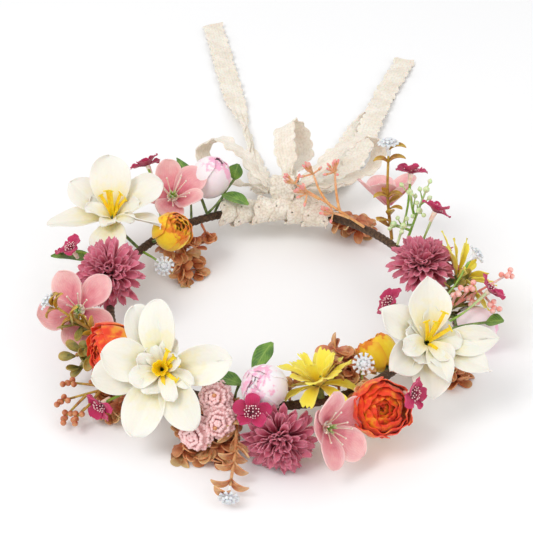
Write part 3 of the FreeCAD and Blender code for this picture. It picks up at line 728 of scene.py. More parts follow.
def chrysanthemum(name, spin):
    """A mauve double bloom: rings of folded, toothed petals, long outside and curled in at the heart."""
    chance = dice(name)
    seat, way = seat_of(cad_solids(f"{name}_head")[0])
    place = bloom_matrix(seat, way, spin)
    petals = Shape()
    # Each ring: petals, length, width, slope at the base and at the tip, radius and height of the feet.
    rings = [
        (20, 18.5, 5.0, 26, -18, 2.6, 2.0), (21, 17.8, 4.8, 38, -2, 2.4, 2.8),
        (20, 17.0, 4.8, 48, 14, 2.2, 3.5), (19, 16.2, 4.6, 58, 30, 2.0, 4.2),
        (16, 15.4, 4.4, 68, 46, 1.7, 4.8), (13, 14.4, 4.2, 76, 66, 1.4, 5.3),
        (9, 13.0, 4.0, 84, 92, 1.0, 5.7), (5, 11.0, 3.8, 88, 118, 0.6, 6.0),
    ]
    for number, (count, length, width, foot, tip, radius, height) in enumerate(rings):
        for k in range(count):
            petals.petal(
                length * chance.uniform(0.88, 1.1), width * chance.uniform(0.85, 1.1),
                (foot + chance.uniform(-9, 9), tip + chance.uniform(-26, 26)), (1.6, 0.6),
                base=0.35, peak=0.72, notch=0.1, teeth=chance.choice([1, 2]), ruffle=0.6,
                phase=chance.uniform(0, 6), tone=chance.uniform(0, 1), rows=9, columns=7,
                matrix=place @ ring_matrix(
                    (k + 0.5 * (number % 2)) * 360 / count + chance.uniform(-6, 6), radius, height,
                    chance.uniform(-18, 18)))
    petals.finish(f"{name}.petals", MAUVE, "mauve_fabric", [f"{name}_head"])


def wrapped_petal(petals, place, radius, turn, half_angle, foot, tip, flare, wave, chance, stretch=1.0):
    """A petal that lies on a ball: from its foot to its tip, both as degrees from where the bloom looks."""
    rows, columns = 13, 11
    s, t = np.meshgrid(np.linspace(0, 1, rows), np.linspace(-1, 1, columns), indexing="ij")
    lip = 1 - 0.16 * np.abs(t) ** 3
    polar = np.radians(foot + (tip - foot) * s * lip)
    widening = 0.35 + 0.65 * np.sin(math.pi / 2 * np.minimum(1, s * 1.7))
    round_about = np.radians(turn + half_angle * t * widening)
    ripple = wave * s**2 * np.sin(t * chance.uniform(5, 9) + chance.uniform(0, 6))
    reach = radius * (1 + flare * s**4 + ripple + 0.05 * t * (1 if chance.uniform() > 0.5 else -1))
    x = reach * np.sin(polar) * np.cos(round_about)
    y = reach * np.sin(polar) * np.sin(round_about)
    z = reach * np.cos(polar) * stretch
    shades = np.stack([s, t, np.full_like(s, chance.uniform(0, 1))], axis=2)
    petals.sheet(np.stack([x, y, z], axis=2), shades, FINE_FABRIC, place)


def wrapped_bloom(name, look, slot, layers, lift, stretch=1.0, heart=0.0):
    """A double bloom of petals that wrap round each other, as ranunculus and peony buds have.

    heart is the height of the closed core under a bud's tips, if it has one.
    """
    chance = dice(name)
    faces = cad_solids(f"{name}_head")[0]
    seat, way = seat_of(faces)
    place = bloom_matrix(seat + way * lift, way, chance.uniform(0, 360))
    petals = Shape()
    for radius, count, foot, tip, flare, wave in layers:
        start = chance.uniform(0, 360)
        for k in range(count):
            wrapped_petal(
                petals, place, radius * chance.uniform(0.96, 1.04), start + k * 360 / count, 230 / count,
                foot, tip + chance.uniform(-5, 5), flare, wave, chance, stretch)
    if heart:
        petals.bead([0, 0, -heart / 2], [0, 0, heart], heart / 2, 0.3, 14, matrix=place)
    petals.finish(f"{name}.petals", look, slot, [f"{name}_head"])


def daisy(name, spin, whorls, notch, end, point, lift):
    """A lemon daisy: whorls of petals round a small seeded dome. lift turns its face up a little."""
    chance = dice(name)
    seat, way = seat_of(cad_solids(f"{name}_petals")[0])
    place = bloom_matrix(seat, unit(way + UP * lift), spin)
    petals = Shape()
    for number, (count, length, width, foot, tip, height) in enumerate(whorls):
        for k in range(count):
            petals.petal(
                length * chance.uniform(0.88, 1.06), width * chance.uniform(0.85, 1.1),
                (foot + chance.uniform(-6, 6), tip + chance.uniform(-14, 14)), (0.9, 0.3),
                base=0.3, peak=0.75, end=end, point=point, notch=notch, teeth=2.5, ruffle=0.6,
                phase=chance.uniform(0, 6), tone=chance.uniform(0, 0.8), rows=12,
                matrix=place @ ring_matrix(
                    (k + 0.5 * number) * 360 / count + chance.uniform(-7, 7), 1.8, height,
                    chance.uniform(-14, 14)))
    petals.finish(f"{name}.petals", LEMON, "lemon_fabric", [f"{name}_petals"])
    seeds = Shape()
    for k in range(26):
        out = 0.55 * math.sqrt(k)
        seeds.bead([0, 0, 3.0], [0, 0, 6.2 - out * 0.5], 0.62, chance.uniform(0, 1), 6,
                   matrix=place @ ring_matrix(k * GOLDEN_TURN, out, 0))
    seeds.finish(f"{name}.seeds", STAMEN, "lemon_fabric")


def fuchsia_blossoms():
    """Small fuchsia blossoms on pale tubes, each with a dome of white-tipped stamens."""
    petals, tubes, tufts = Shape(), Shape(), Shape()
    chance = dice("fuchsia")
    for faces in cad_solids("fuchsia_blossoms"):
        seat, way = seat_of(faces, stemmed=True)
        place = bloom_matrix(seat - way * 0.6, way, chance.uniform(0, 72))
        for k in range(5):
            petals.petal(
                chance.uniform(8.2, 9.8), chance.uniform(7.6, 9.0),
                (chance.uniform(15, 40), chance.uniform(-20, 50)), (0.8, 0.3),
                base=0.3, peak=0.62, end=0.0, ruffle=0.9, phase=chance.uniform(0, 6),
                tone=chance.uniform(0, 1), rows=10,
                matrix=place @ ring_matrix(k * 72, 0.7, 0.4, chance.uniform(-16, 16)))
        neck = [[0, 0, z] for z in (-5.5, -4, -2, -0.4, 0.8)]
        tubes.tube(neck, [1.0, 1.25, 1.3, 1.6, 1.2], 0.5, 10, matrix=place)
        for k in range(30):
            out, up = leaning(chance.uniform(3.4, 4.6), 6 + 11.5 * math.sqrt(k))
            end = np.array([0.4 + out, 0, 0.8 + up])
            spot = place @ ring_matrix(k * GOLDEN_TURN, 0, 0)
            petals.tube([[0.2, 0, 0.6], end * 0.6, end * 0.92], [0.22, 0.2, 0.18], 1.0, 5, matrix=spot)
            tufts.bead(end * 0.86, end, 0.42, 0.5, 6, matrix=spot)
    petals.finish("fuchsia_blossoms.petals", FUCHSIA, "fuchsia_fabric", ["fuchsia_blossoms"])
    tubes.finish("fuchsia_blossoms.tubes", PALE, "fuchsia_fabric")
    tufts.finish("fuchsia_blossoms.tufts", BLUSH, "fuchsia_fabric")
    stems_of("fuchsia_blossoms", LIME, "fuchsia_fabric")


def stems_of(node, look, slot):
    """The stem wires of a CAD node that another piece replaces, redrawn with a slight bow."""
    stems = Shape()
    chance = dice(node)
    for faces in cad_solids(node):
        start, end = rods_of(faces)[0]
        bow = unit(np.cross(end - start, chance.normal(size=3))) * np.linalg.norm(end - start) * 0.05
        radii = 0.72 + 0.08 * np.sin(np.linspace(0, 9, 10))
        stems.tube(bowed(start, end, bow, 10), radii, chance.uniform(0, 1))
    stems.finish(f"{node}.stems", look, slot)


def pompoms():
    """Moulded rosettes: rounds of ridged arms, each with three small knobs at its tip."""
    petals = Shape()
    chance = dice("pompoms")
    # Each round: arms, length, slope at the base and at the tip, and height of the feet.
    rounds = ((12, 8.0, 0, -16, 0.4), (11, 7.6, 20, 6, 1.0), (9, 7.0, 42, 34, 1.4), (6, 6.2, 62, 60, 1.6),
              (3, 5.4, 84, 90, 1.8))
    for faces in cad_solids("pink_pompoms"):
        seat, way = seat_of([face for face in faces if face.flat or face.ball])
        place = bloom_matrix(seat, way, chance.uniform(0, 360))
        for count, length, foot, tip, height in rounds:
            for k in range(count):
                grid, shades = petal_grid(
                    length * chance.uniform(0.92, 1.06), 3.4, (foot, tip + chance.uniform(-8, 8)), (0.6, 0.4),
                    base=0.4, peak=0.85, end=0.8, tone=0.0, rows=6, columns=5)
                spot = place @ ring_matrix(k * 360 / count + count * 7, 0.6, height)
                petals.sheet(grid, shades * [0.6, 0.5, 1], 1.0, spot)
                middle = grid[-1].mean(0)
                for side, push in ((-1.15, -0.5), (1.15, -0.5), (0.0, 0.2)):
                    knob = middle + [push, side, 0]
                    petals.bead(knob - [1.0, 0, 0], knob + [1.0, 0, 0], 1.0, 0.0, 7, matrix=spot)
    petals.finish("pink_pompoms.petals", BLUSH, "pale_pink_plastic", ["pink_pompoms"])
    stems_of("pink_pompoms", GREEN, "pale_pink_plastic")


def star(shape, place, size):
    """A moulded white star flower: a trumpet under three rounds of blunt, forked arms."""
    neck = [[0, 0, z * size] for z in (-4, -2, 0, 1.4, 2.0)]
    shape.tube(neck, np.array([0.8, 1.0, 1.5, 2.4, 1.6]) * size, 0.3, 10, matrix=place)
    for count, length, rise, foot in ((11, 4.9, 8, 1.2), (9, 3.4, 30, 1.6), (6, 2.2, 62, 1.8)):
        for k in range(count):
            a = math.radians(rise)
            start = np.array([0.5, 0, foot]) * size
            end = np.array([length * math.cos(a), 0, foot + length * math.sin(a)]) * size
            spot = place @ ring_matrix((k + foot) * 360 / count, 0, 0)
            arm = [start, (start + end) / 2, end]
            shape.tube(arm, np.array([0.5, 0.5, 0.62]) * size, 0.7, 6, matrix=spot)
            for side in (-1, 1):
                fork = end + [0.1, side * 0.75 * size, 0.1]
                shape.bead(end - [1.2 * size, 0, 0], fork, 0.42 * size, 0.9, 5, matrix=spot)


def white_stars():
    stars = Shape()
    for faces in cad_solids("white_star_flowers"):
        seat, way = seat_of(faces, stemmed=True)
        star(stars, bloom_matrix(seat - way, way), 1.15)
    stars.finish("white_star_flowers.heads", WHITE, "white_plastic", ["white_star_flowers"])
    stems_of("white_star_flowers", LIME, "white_plastic")


# ---------------------------------------------------------------- foliage and sprigs


def green_leaves():
    leaves = Shape()
    chance = dice("leaves")
    for faces in cad_solids("green_leaves"):
        blade = broad_face(faces)
        offsets = blade.points - blade.points.mean(0)
        long_way = np.linalg.eigh(offsets.T @ offsets)[1][:, -1]
        normal = unit(blade.normal)
        if normal[2] < 0:
            normal = -normal
        rods = [face for face in faces if face.rod and face.radius < 2]
        root = np.vstack([face.points for face in rods]).mean(0) if rods else blade.middle - long_way
        if (blade.middle - root) @ long_way < 0:
            long_way = -long_way
        reach = (offsets @ long_way).max()
        foot = blade.points.mean(0) - long_way * reach
        leaves.petal(
            reach * 2.06, 10.5, (chance.uniform(4, 10), chance.uniform(-26, -8)), (0.55, 0.35), FABRIC,
            placement(long_way, np.cross(normal, long_way), normal, foot),
            base=0.16, peak=0.4, end=0.0, point=0.9, ruffle=0.5, waves=1.5, phase=chance.uniform(0, 6),
            sway=chance.uniform(-1.2, 1.2), tone=chance.uniform(0, 1), rows=18, columns=11)
    leaves.finish("green_leaves.blades", LEAF, "leaf_fabric", ["green_leaves"])
    stems_of("green_leaves", GREEN, "leaf_fabric")


def leaf_middles(faces):
    """The middles of a sprig's small round leaves, from their discs' upper faces."""
    found = []
    for face in faces:
        if face.flat and face.area > 12 and face.normal[2] >= 0:
            if all(np.linalg.norm(face.middle - middle) > 2 for middle in found):
                found.append(face.middle)
    return found


def main_stem(faces):
    """The two ends of a sprig's longest stem, with the end nearer the band first."""
    start, end = rods_of(faces)[0]
    band = [np.hypot(np.hypot(p[0], p[1]) - BAND_RADIUS, p[2] - BAND_HEIGHT) for p in (start, end)]
    return (start, end) if band[0] < band[1] else (end, start)


def paddle(shape, root, middle, normal, chance, length, width, curl=20):
    """A small spoon-shaped leaf from its root out past the middle of its CAD disc."""
    out = middle - root
    out = unit(out - normal * (out @ normal))
    shape.petal(
        length, width, (chance.uniform(0, 25), chance.uniform(-curl, curl)), (1.0, 0.5), MOULDED,
        placement(out, np.cross(normal, out), normal, root), base=0.14, peak=0.62, end=0.0,
        sway=chance.uniform(-1, 1), tone=chance.uniform(0, 1), rows=11)


def rust_sprays():
    """Sprays of small paddle leaves in fives, translucent rust and amber."""
    leaves, paler, stems = Shape(), Shape(), Shape()
    chance = dice("rust")
    for faces in cad_solids("rust_leaf_sprays"):
        start, end = main_stem(faces)
        way = unit(end - start)
        path = bowed(start, end, np.cross(end - start, UP) * 0.06, 21)
        stems.tube(path, np.linspace(1.0, 0.6, 21), 0.3)
        for number, near in enumerate(path[2::2]):
            aside = unit(np.cross(way, UP)) * (1 if number % 2 else -1)
            fork = near + aside * chance.uniform(2.5, 4.5) + way * 2 + UP * chance.uniform(0.5, 2.5)
            stems.tube([near, (near + fork) / 2 + UP * 0.4, fork], [0.55, 0.5, 0.5], 0.5, 6)
            for turn in (-100, -45, 5, 50, 100):
                out = rotated(unit(aside + way * 0.5), UP, turn + chance.uniform(-15, 15))
                up = unit(UP + 0.55 * chance.normal(size=3))
                paddle(leaves if chance.uniform() < 0.6 else paler, fork, fork + out * 4, up, chance,
                       chance.uniform(8, 11), chance.uniform(6, 8), 40)
        paddle(leaves, path[-1], path[-1] + way, unit(UP + 0.4 * chance.normal(size=3)), chance, 9, 6)
    leaves.finish("rust_leaf_sprays.leaves", RUST, "rust_plastic", ["rust_leaf_sprays"])
    paler.finish("rust_leaf_sprays.paler", AMBER, "rust_plastic")
    stems.finish("rust_leaf_sprays.stems", RUST, "rust_plastic")


def filler(name, look, slot, tufts, leaf=None):
    """Loose moulded foliage taped to the band between the blooms.

    Each tuft: where it leaves the band in degrees, the azimuth and elevation it points to, and its length.
    leaf is the length and width of its leaves. A tuft without leaves carries berries.
    """
    greens = Shape()
    chance = dice(name)
    for angle, azimuth, elevation, length in tufts:
        a, e, r = math.radians(azimuth), math.radians(elevation), math.radians(angle)
        way = np.array([math.cos(a) * math.cos(e), math.sin(a) * math.cos(e), math.sin(e)])
        start = np.array([BAND_RADIUS * math.cos(r), BAND_RADIUS * math.sin(r), BAND_HEIGHT]) + way * 3
        bow = unit(np.cross(way, chance.normal(size=3))) * length * 0.1
        path = smooth_path([start, start + way * length / 2 + bow, start + way * length], 12)
        greens.tube(path, np.linspace(0.8, 0.45, 12), 0.2, 6)
        for number, near in enumerate(path[4:]):
            turn = number * GOLDEN_TURN + chance.uniform(-20, 20)
            out = unit(way + 1.1 * rotated(unit(np.cross(way, UP)), way, turn))
            if leaf is None:
                knob = near + out * chance.uniform(1.5, 3.5)
                greens.tube([near, (near + knob) / 2, knob], [0.35, 0.35, 0.3], 0.2, 5)
                greens.bead(knob - out * 0.6, knob + out * 1.8, 1.2, chance.uniform(0.3, 1), 8)
            else:
                up = unit(UP + 0.6 * chance.normal(size=3))
                length_here = leaf[0] * chance.uniform(0.75, 1.15)
                paddle(greens, near, near + out, up, chance, length_here, leaf[1], 40)
    greens.finish(name, look, slot)


def star_sprig(name, body_look, slot, star_size):
    """A moulded sprig with pairs of curved pointed leaves and a white star at its tip."""
    chance = dice(name)
    faces = cad_solids(name)[0]
    start, end = main_stem(faces)
    way = unit(end - start)
    body = Shape()
    path = bowed(start, end, unit(np.cross(way, [0.2, 1, 0.1])) * 1.5, 16)
    body.tube(path, np.linspace(1.1, 0.7, 16), 0.2)
    for k in range(6):
        out = rotated(unit(np.cross(way, [0.3, 1, 0.2])), way, k * 60 + chance.uniform(-15, 15))
        near = path[2 + k]
        paddle(body, near, near + out, unit(way - out * 0.4), chance,
               chance.uniform(8, 12), chance.uniform(4, 5.5), 50)
    for middle in leaf_middles(faces):
        near = path[np.argmin(np.linalg.norm(path - middle, axis=1))]
        side = middle - near
        side = unit(side - way * (side @ way))
        normal = unit(way * 0.9 - side * 0.35)
        out = unit(side + way * 0.5)
        level = unit(np.cross(normal, out))
        body.petal(
            chance.uniform(9.5, 11.5), 6.0, (30, -60), (1.0, 0.6), MOULDED,
            placement(out, level, np.cross(out, level), near),
            base=0.3, peak=0.45, end=0.0, point=0.8, tone=chance.uniform(0, 1), rows=11, columns=7)
    body.finish(f"{name}.body", body_look, slot, [name], name)
    head = Shape()
    star(head, bloom_matrix(end + way * 2.5, way), star_size)
    head.finish(f"{name}.star", WHITE, slot, body=name)


def tipped_sprig(name, stem_look, tip_look, slot, dress, kind):
    """A moulded sprig redrawn from its CAD stems, with each ball dressed as the real tips are."""
    chance = dice(name)
    faces = cad_solids(name)[0]
    balls = [face.centre for face in faces if face.ball]
    stems, tips, spans = Shape(), Shape(), []
    for start, end in rods_of(faces):
        gaps = [min(np.linalg.norm(p - ball) for ball in balls) for p in (start, end)]
        start, end = (start, end) if gaps[1] < gaps[0] else (end, start)
        spans.append((start, end))
        length = np.linalg.norm(end - start)
        bow = unit(np.cross(end - start, UP + 0.01)) * length * chance.uniform(-0.06, 0.06)
        stems.tube(bowed(start, end, bow, 10), np.linspace(0.85, 0.6, 10), chance.uniform(0, 0.4))
    for ball in balls:
        root, tip = min(spans, key=lambda span: np.linalg.norm(span[1] - ball))
        dress(stems, tips, ball, unit(tip - root), chance)
    stems.finish(f"{name}.stems", stem_look, slot, [name], name)
    tips.finish(f"{name}.{kind}", tip_look, slot, body=name)


def berry_tip(stems, tips, ball, way, chance):
    """A pale berry at the tip, and three smaller ones on stalks that leave the stem below it."""
    berries = [(ball, way, 1.9)]
    aside = unit(np.cross(way, UP + 0.01))
    for k in (1, 2, 3):
        fork = ball - way * 3.4 * k
        out = unit(way + 0.6 * rotated(aside, way, k * 130 + chance.uniform(-30, 30)))
        berry = fork + out * chance.uniform(6, 9)
        stems.tube([fork, (fork + berry) / 2, berry], [0.5, 0.42, 0.38], 0.5, 6)
        berries.append((berry, out, chance.uniform(1.2, 1.5)))
    for middle, out, size in berries:
        tips.bead(middle - out * size, middle + out * size * 0.95, size, chance.uniform(0, 1), 12)
        tips.bead(middle + out * size * 0.63, middle + out * size * 1.2, 0.55, 1.0, 8)


def bud_cluster(stems, tips, ball, way, chance):
    """Short stalks that fan out, each with a flared cup and a slim pointed bud."""
    for k in range(10):
        out = unit(way + 0.65 * chance.normal(size=3))
        fork = ball - way * 1.5 + out * chance.uniform(3.0, 6.0)
        stems.tube([ball - way * 2.5, ball - way, fork], [0.6, 0.5, 0.55], 0.4, 6)
        stems.tube([fork, fork + out * 1.4], [0.5, 0.95], 0.8, 7)
        bud = fork + out * chance.uniform(3.4, 4.6)
        tips.bead(fork + out * 0.6, bud, 0.85, chance.uniform(0, 1), 7, blunt=0.7)


def berry_cluster(stems, tips, ball, way, chance):
    """Berries on short stalks, one after another round the end of the stem."""
    aside = unit(np.cross(way, UP + 0.01))
    for k, side in enumerate((-1, 1, 0.2, -0.8, 0.9)):
        out = unit(way + side * 0.8 * rotated(aside, way, k * 50))
        fork = ball - way * (1.5 * k) + out * 2.4
        stems.tube([ball - way * (1.5 + 1.5 * k), ball - way * k, fork], [0.6, 0.6, 0.5], 0.5, 6)
        tips.bead(fork - out * 0.9, fork + out * 2.3, 1.65, chance.uniform(0, 1), 10)


# ---------------------------------------------------------------- band and ribbon


def wound_band():
    """Paper tape wound round the wire in two slanting strands, each turn a low step over the last."""
    turns, strands, rows, sides = 150, 2, 1500, 14
    inner, step = 2.1, 0.45
    first, last = math.radians(98), math.radians(98 + 344)
    chance = dice("tape")
    u = np.linspace(0, 1, rows)
    wander = np.interp(u, np.linspace(0, 1, 60), chance.uniform(-0.15, 0.15, 60))
    points, shades = [], []
    for share, wobble in zip(u, wander):
        angle = first + (last - first) * share
        out = np.array([math.cos(angle), math.sin(angle), 0])
        for k in range(sides):
            turn = 2 * math.pi * k / sides
            lap = (share * turns + strands * k / sides) % 1
            radius = inner + step * lap + wobble
            reach, height = BAND_RADIUS + radius * math.cos(turn), BAND_HEIGHT + radius * math.sin(turn)
            points.append(out * reach + UP * height)
            shades.append((share, lap, wobble + 0.5))
    faces = []
    for i in range(rows - 1):
        for k in range(sides):
            a, b = i * sides + k, i * sides + (k + 1) % sides
            faces.append((a, a + sides, b + sides, b))
    faces += [tuple(range(sides)), tuple((rows - 1) * sides + k for k in reversed(range(sides)))]
    band = Shape()
    band.add(np.array(points), np.array(shades), faces)
    band.finish("band_tape.winding", TAPE, "paper_tape", ["band_tape"])


LACE_WIDTH = 14.0
SCALLOP = 8.2


def lace_strip(path, across, chance, ruffle, wave, pinch, columns=17):
    """A strip of scalloped lace along a path, as a grid. across points over its width at each point.

    pinch is how far the strip is drawn together at each point, from 0 to 1; it ruffles more there.
    """
    run = np.concatenate([[0], np.cumsum(np.linalg.norm(np.diff(path, axis=0), axis=1))])
    tangents = np.gradient(path, axis=0)
    tangents /= np.linalg.norm(tangents, axis=1, keepdims=True)
    across = across - tangents * (across * tangents).sum(1, keepdims=True)
    across /= np.linalg.norm(across, axis=1, keepdims=True)
    normal = np.cross(tangents, across)
    t = np.linspace(-1, 1, columns)
    bite = np.abs(np.sin(math.pi * run / SCALLOP))
    shift = chance.uniform(0, 6, 4)
    grid, shades = [], []
    for k, point in enumerate(path):
        edge = (1 + 0.24 * (bite[k] - 0.6) * np.abs(t) ** 4) * (1 - pinch[k])
        pleats = 2.2 * pinch[k] * np.sin(t * 9 + shift[1] + run[k] * 0.12)
        lift = pleats + ruffle * np.abs(t) ** 1.6 * (
            np.sin(2 * math.pi * run[k] / wave + np.where(t > 0, shift[0], shift[1]))
            + 0.5 * np.sin(2 * math.pi * run[k] / (wave * 0.43) + np.where(t > 0, shift[2], shift[3])))
        swell = 0.5 * ruffle * np.sin(2 * math.pi * run[k] / (wave * 2.3) + shift[0]) * (1 - t**2)
        aside, above = np.outer(t * edge * LACE_WIDTH / 2, across[k]), np.outer(lift + swell, normal[k])
        grid.append(point + aside + above)
        shades.append(np.column_stack([np.full(columns, run[k] / run[-1]), t, np.full(columns, 0.5)]))
    return np.array(grid), np.array(shades), run


def eyelets(run, columns):
    """The openwork: which cells of a strip's grid are holes, a row along each scalloped edge."""
    holes = np.zeros((len(run) - 1, columns - 1), bool)
    phase = (run[:-1] % SCALLOP) / SCALLOP
    for column in (2, columns - 4):
        holes[:, column] = (phase > 0.36) & (phase < 0.48)
    return holes


def lace_piece(name, path, across, body, nodes, ruffle=1.2, wave=16.0, pinch=None,
               look=LACE, open_work=False, blend_to=None):
    """A length of the lace ribbon. blend_to holds where it would pass from the crown's motion to its own
    body's; only whether it is given is read, and then the piece joins no body.
    """
    chance = dice(name)
    pinch = np.zeros(len(path)) if pinch is None else pinch
    grid, shades, run = lace_strip(path, across, chance, ruffle, wave, pinch)
    strip = Shape()
    strip.sheet(grid, shades, LACE_THICKNESS, holes=eyelets(run, grid.shape[1]) if open_work else None)
    piece = strip.finish(name, look, "lace", nodes, None if blend_to else body)
    if blend_to:
        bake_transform(piece)


def hump(share, middle, width, height):
    """A smooth rise to height at the middle, over about width on each side."""
    return height * np.exp(-(((share - middle) / width) ** 2))


def knot_centre():
    low, high = np.array(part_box("ribbon_knot"))
    return (low + high) / 2 / MM


def loop_strip(name, roll):
    """A ribbon loop: out along one side of its teardrop and back along the other. roll is in degrees."""
    faces = cad_solids(f"ribbon_loop_{name}")[0]
    flat = broad_face(faces)
    across = unit(flat.normal)
    start = np.array(joints[f"{name}_loop_flop"]["pos_m"]) / MM
    points = np.vstack([face.points for face in faces])
    far = points[np.argsort(np.linalg.norm(points - start, axis=1))[-12:]].mean(0)
    out = far - start
    out -= across * (out @ across)
    length, out = np.linalg.norm(out), unit(out)
    across = rotated(across, out, roll)
    side = np.cross(across, out)
    outline = [(-0.12, 0.1), (0.1, 0.28), (0.35, 0.7), (0.65, 1.0), (0.9, 0.85), (1.03, 0.0)]
    line = outline + [(x, -z) for x, z in reversed(outline[:-1])]
    path = smooth_path([start + out * length * x + side * 11 * z for x, z in line], 170)
    share = np.linspace(0, 1, 170)
    lean = across + 0.25 * out * np.sin(2 * math.pi * share)[:, None]
    pinch = hump(share, 0, 0.1, 0.5) + hump(share, 1, 0.1, 0.5)
    lace_piece(f"ribbon_loop_{name}.lace", path, lean, f"{name}_loop", [f"ribbon_loop_{name}"],
               ruffle=0.9, wave=19.0, pinch=pinch)


def tail_strip(name, drift, waist, twist, gather, second=None):
    """A ribbon tail that leaves the knot, drops to the surface and lies along it.

    drift is how much of the sideways wander it has. At its waist, a share of its length, it is drawn
    together and twisted. second is a layer laid beside it: where it begins, stops, and how far aside it is.
    """
    node = f"ribbon_tail_{name}"
    flat = broad_face(cad_solids(node)[0])
    start = np.array(joints[f"{name}_tail_fold"]["pos_m"]) / MM
    out = flat.middle - start
    out[2] = 0
    out = unit(out)
    length = ((flat.points - start) @ out).max()
    side = np.array([-out[1], out[0], 0])
    knot = knot_centre()
    # Each point: distance out from the hinge, height, and drift to the side.
    line = [(10, 15.5, -1), (24, 7.0, -2), (38, 3.0, -6), (70, 3.4, -7.5), (110, 4.2, -4.5), (150, 2.6, -1),
            (length * 0.86, 2.4, -0.5), (length, 2.0, 0)]
    first = [knot + unit(start - knot) * 4, start + UP * 2]
    rest = [start * [1, 1, 0] + out * x + UP * z + side * w * drift for x, z, w in line]
    path = smooth_path(first + rest, 420)
    run = np.cumsum(np.linalg.norm(np.diff(path, axis=0, prepend=path[:1]), axis=1))
    share = run / run[-1]
    turn = np.radians(hump(share, waist, 0.09, twist))
    across = np.outer(np.cos(turn), side) + np.outer(np.sin(turn), UP)
    lace_piece(f"{node}.lace", path, across, f"{name}_tail", [node],
               ruffle=0.9, wave=23.0, pinch=hump(share, waist, 0.12, gather) + hump(share, 0, 0.04, 0.3),
               blend_to=((start - out * 4) * MM, (start + out * 30) * MM))
    if second:
        begin, stop, aside = second
        line = [start * [1, 1, 0] + out * x + UP * z + side * aside for x, z in
                ((begin, 6.0), (begin + 16, 1.8), (begin + 45, 1.0), (stop - 20, 1.0), (stop, 1.2))]
        path = smooth_path(line, 220)
        lean = np.tile(side + 0.18 * UP, (220, 1))
        lace_piece(f"{node}.fold", path, lean, f"{name}_tail", [],
                   ruffle=0.8, wave=17.0, pinch=hump(np.linspace(0, 1, 220), 1, 0.12, 0.5))


def wound_lace():
    """Lace wound round the back of the band, each turn overlapping the last."""
    first, last = math.radians(67), math.radians(107)
    turns, rows = 5.6, 620
    chance = dice("wrap")
    u = np.linspace(0, 1, rows)
    angle = first + (last - first) * u
    spin = 2 * math.pi * turns * u
    out = np.column_stack([np.cos(angle), np.sin(angle), 0 * angle])
    along = np.column_stack([-np.sin(angle), np.cos(angle), 0 * angle])
    swell = 6.4 + 0.9 * np.sin(u * 23) * chance.uniform(0.5, 1) + 0.5 * np.sin(spin * 2 + 1)
    reach, height = BAND_RADIUS + swell * np.cos(spin), BAND_HEIGHT + swell * np.sin(spin)
    path = out * reach[:, None] + UP * height[:, None]
    radial = out * np.cos(spin)[:, None] + UP * np.sin(spin)[:, None]
    across = along * 0.97 + radial * 0.18
    lace_piece("ribbon_wrap.lace", path, across, "crown", ["ribbon_wrap"],
               ruffle=0.6, wave=11.0, look=CROCHET, open_work=True)


def knot():
    """The knot: a band of lace drawn tight round the roots of the loops and tails, with a corner hanging."""
    centre = knot_centre()
    turn = np.linspace(0.4, 0.4 + 2 * math.pi * 1.55, 200)
    tangent = unit([1.0, -0.12, 0.1])
    up = unit(UP - tangent * tangent[2])
    side = np.cross(tangent, up)
    size = 8.2 + 0.5 * np.sin(turn * 3) + np.linspace(0, 0.8, 200)
    path = centre + np.outer(size * np.cos(turn), up) + np.outer(size * 1.08 * np.sin(turn), side)
    across = np.tile(tangent, (200, 1)) + np.outer(0.25 * np.sin(turn), up)
    lace_piece("ribbon_knot.lace", path, across, "crown", ["ribbon_knot"],
               ruffle=1.0, wave=9.0, look=CROCHET)
    fall = ((3, -4, 3), (9, -10, 0), (17, -14, -5), (25, -19, -13))
    corner = smooth_path([centre + offset for offset in fall], 90)
    across = np.tile(unit([0.55, -0.45, -0.5]), (90, 1))
    lace_piece("ribbon_knot.corner", corner, across, "crown", [],
               ruffle=1.1, wave=15.0, look=CROCHET)


# ---------------------------------------------------------------- the whole crown

white_bloom("white_flower_back_left",
            [(150, 32, 14), (120, 20, 16), (95, 12, 17), (60, 30, 15), (45, 44, 13)], 2, 0.6, 6)
white_bloom("white_flower_front_left",
            [(62, 30, 18), (40, 40, 14), (20, 52, 12), (-30, 60, 12), (-70, 62, 11)], 7, 0.55, 8)
white_bloom("white_flower_right",
            [(60, 34, 22), (72, 26, 16), (100, 38, 14), (20, 52, 14), (-60, 62, 14)], 0, 0.85, 9)
for bloom_name, spin, rise in (("pink_flower_back", 20, 5), ("pink_flower_left", 48, -12),
                               ("pink_flower_front", 10, 4), ("pink_flower_right", 0, 15)):
    blossom(bloom_name, spin, rise)
for bloom_name, spin in (("mauve_flower_left", 0), ("mauve_flower_front", 30), ("mauve_flower_right", 60)):
    chrysanthemum(bloom_name, spin)
# Layers of a wrapped bloom: radius, petals, foot and tip angles, flare of the lip, and waviness.
ORANGE_LAYERS = [
    (14.5, 6, 150, 62, 0.1, 0.05), (13.2, 6, 150, 50, 0.05, 0.05), (11.6, 5, 140, 38, 0.0, 0.05),
    (9.6, 5, 130, 28, 0.0, 0.05), (7.4, 4, 120, 20, 0.0, 0.06), (5.0, 4, 110, 12, 0.0, 0.06),
    (2.8, 3, 100, 5, 0.0, 0.05),
]
YELLOW_LAYERS = [
    (10.9, 5, 152, 48, 0.02, 0.03), (9.9, 5, 150, 36, 0.0, 0.04), (8.4, 5, 140, 26, 0.0, 0.05),
    (6.6, 4, 130, 18, 0.0, 0.05), (4.6, 4, 120, 10, 0.0, 0.05), (2.6, 3, 100, 4, 0.0, 0.04),
]
PEONY_LAYERS = [
    (11.6, 4, 155, 30, -0.02, 0.02), (10.8, 4, 150, 14, -0.03, 0.02), (9.4, 4, 140, 7, -0.02, 0.03),
    (6.6, 4, 130, 6, 0.0, 0.04), (4.2, 3, 120, 6, 0.0, 0.04),
]
for bloom_name in ("orange_flower_left", "orange_flower_right"):
    wrapped_bloom(bloom_name, ORANGE, "orange_fabric", ORANGE_LAYERS, 8.0)
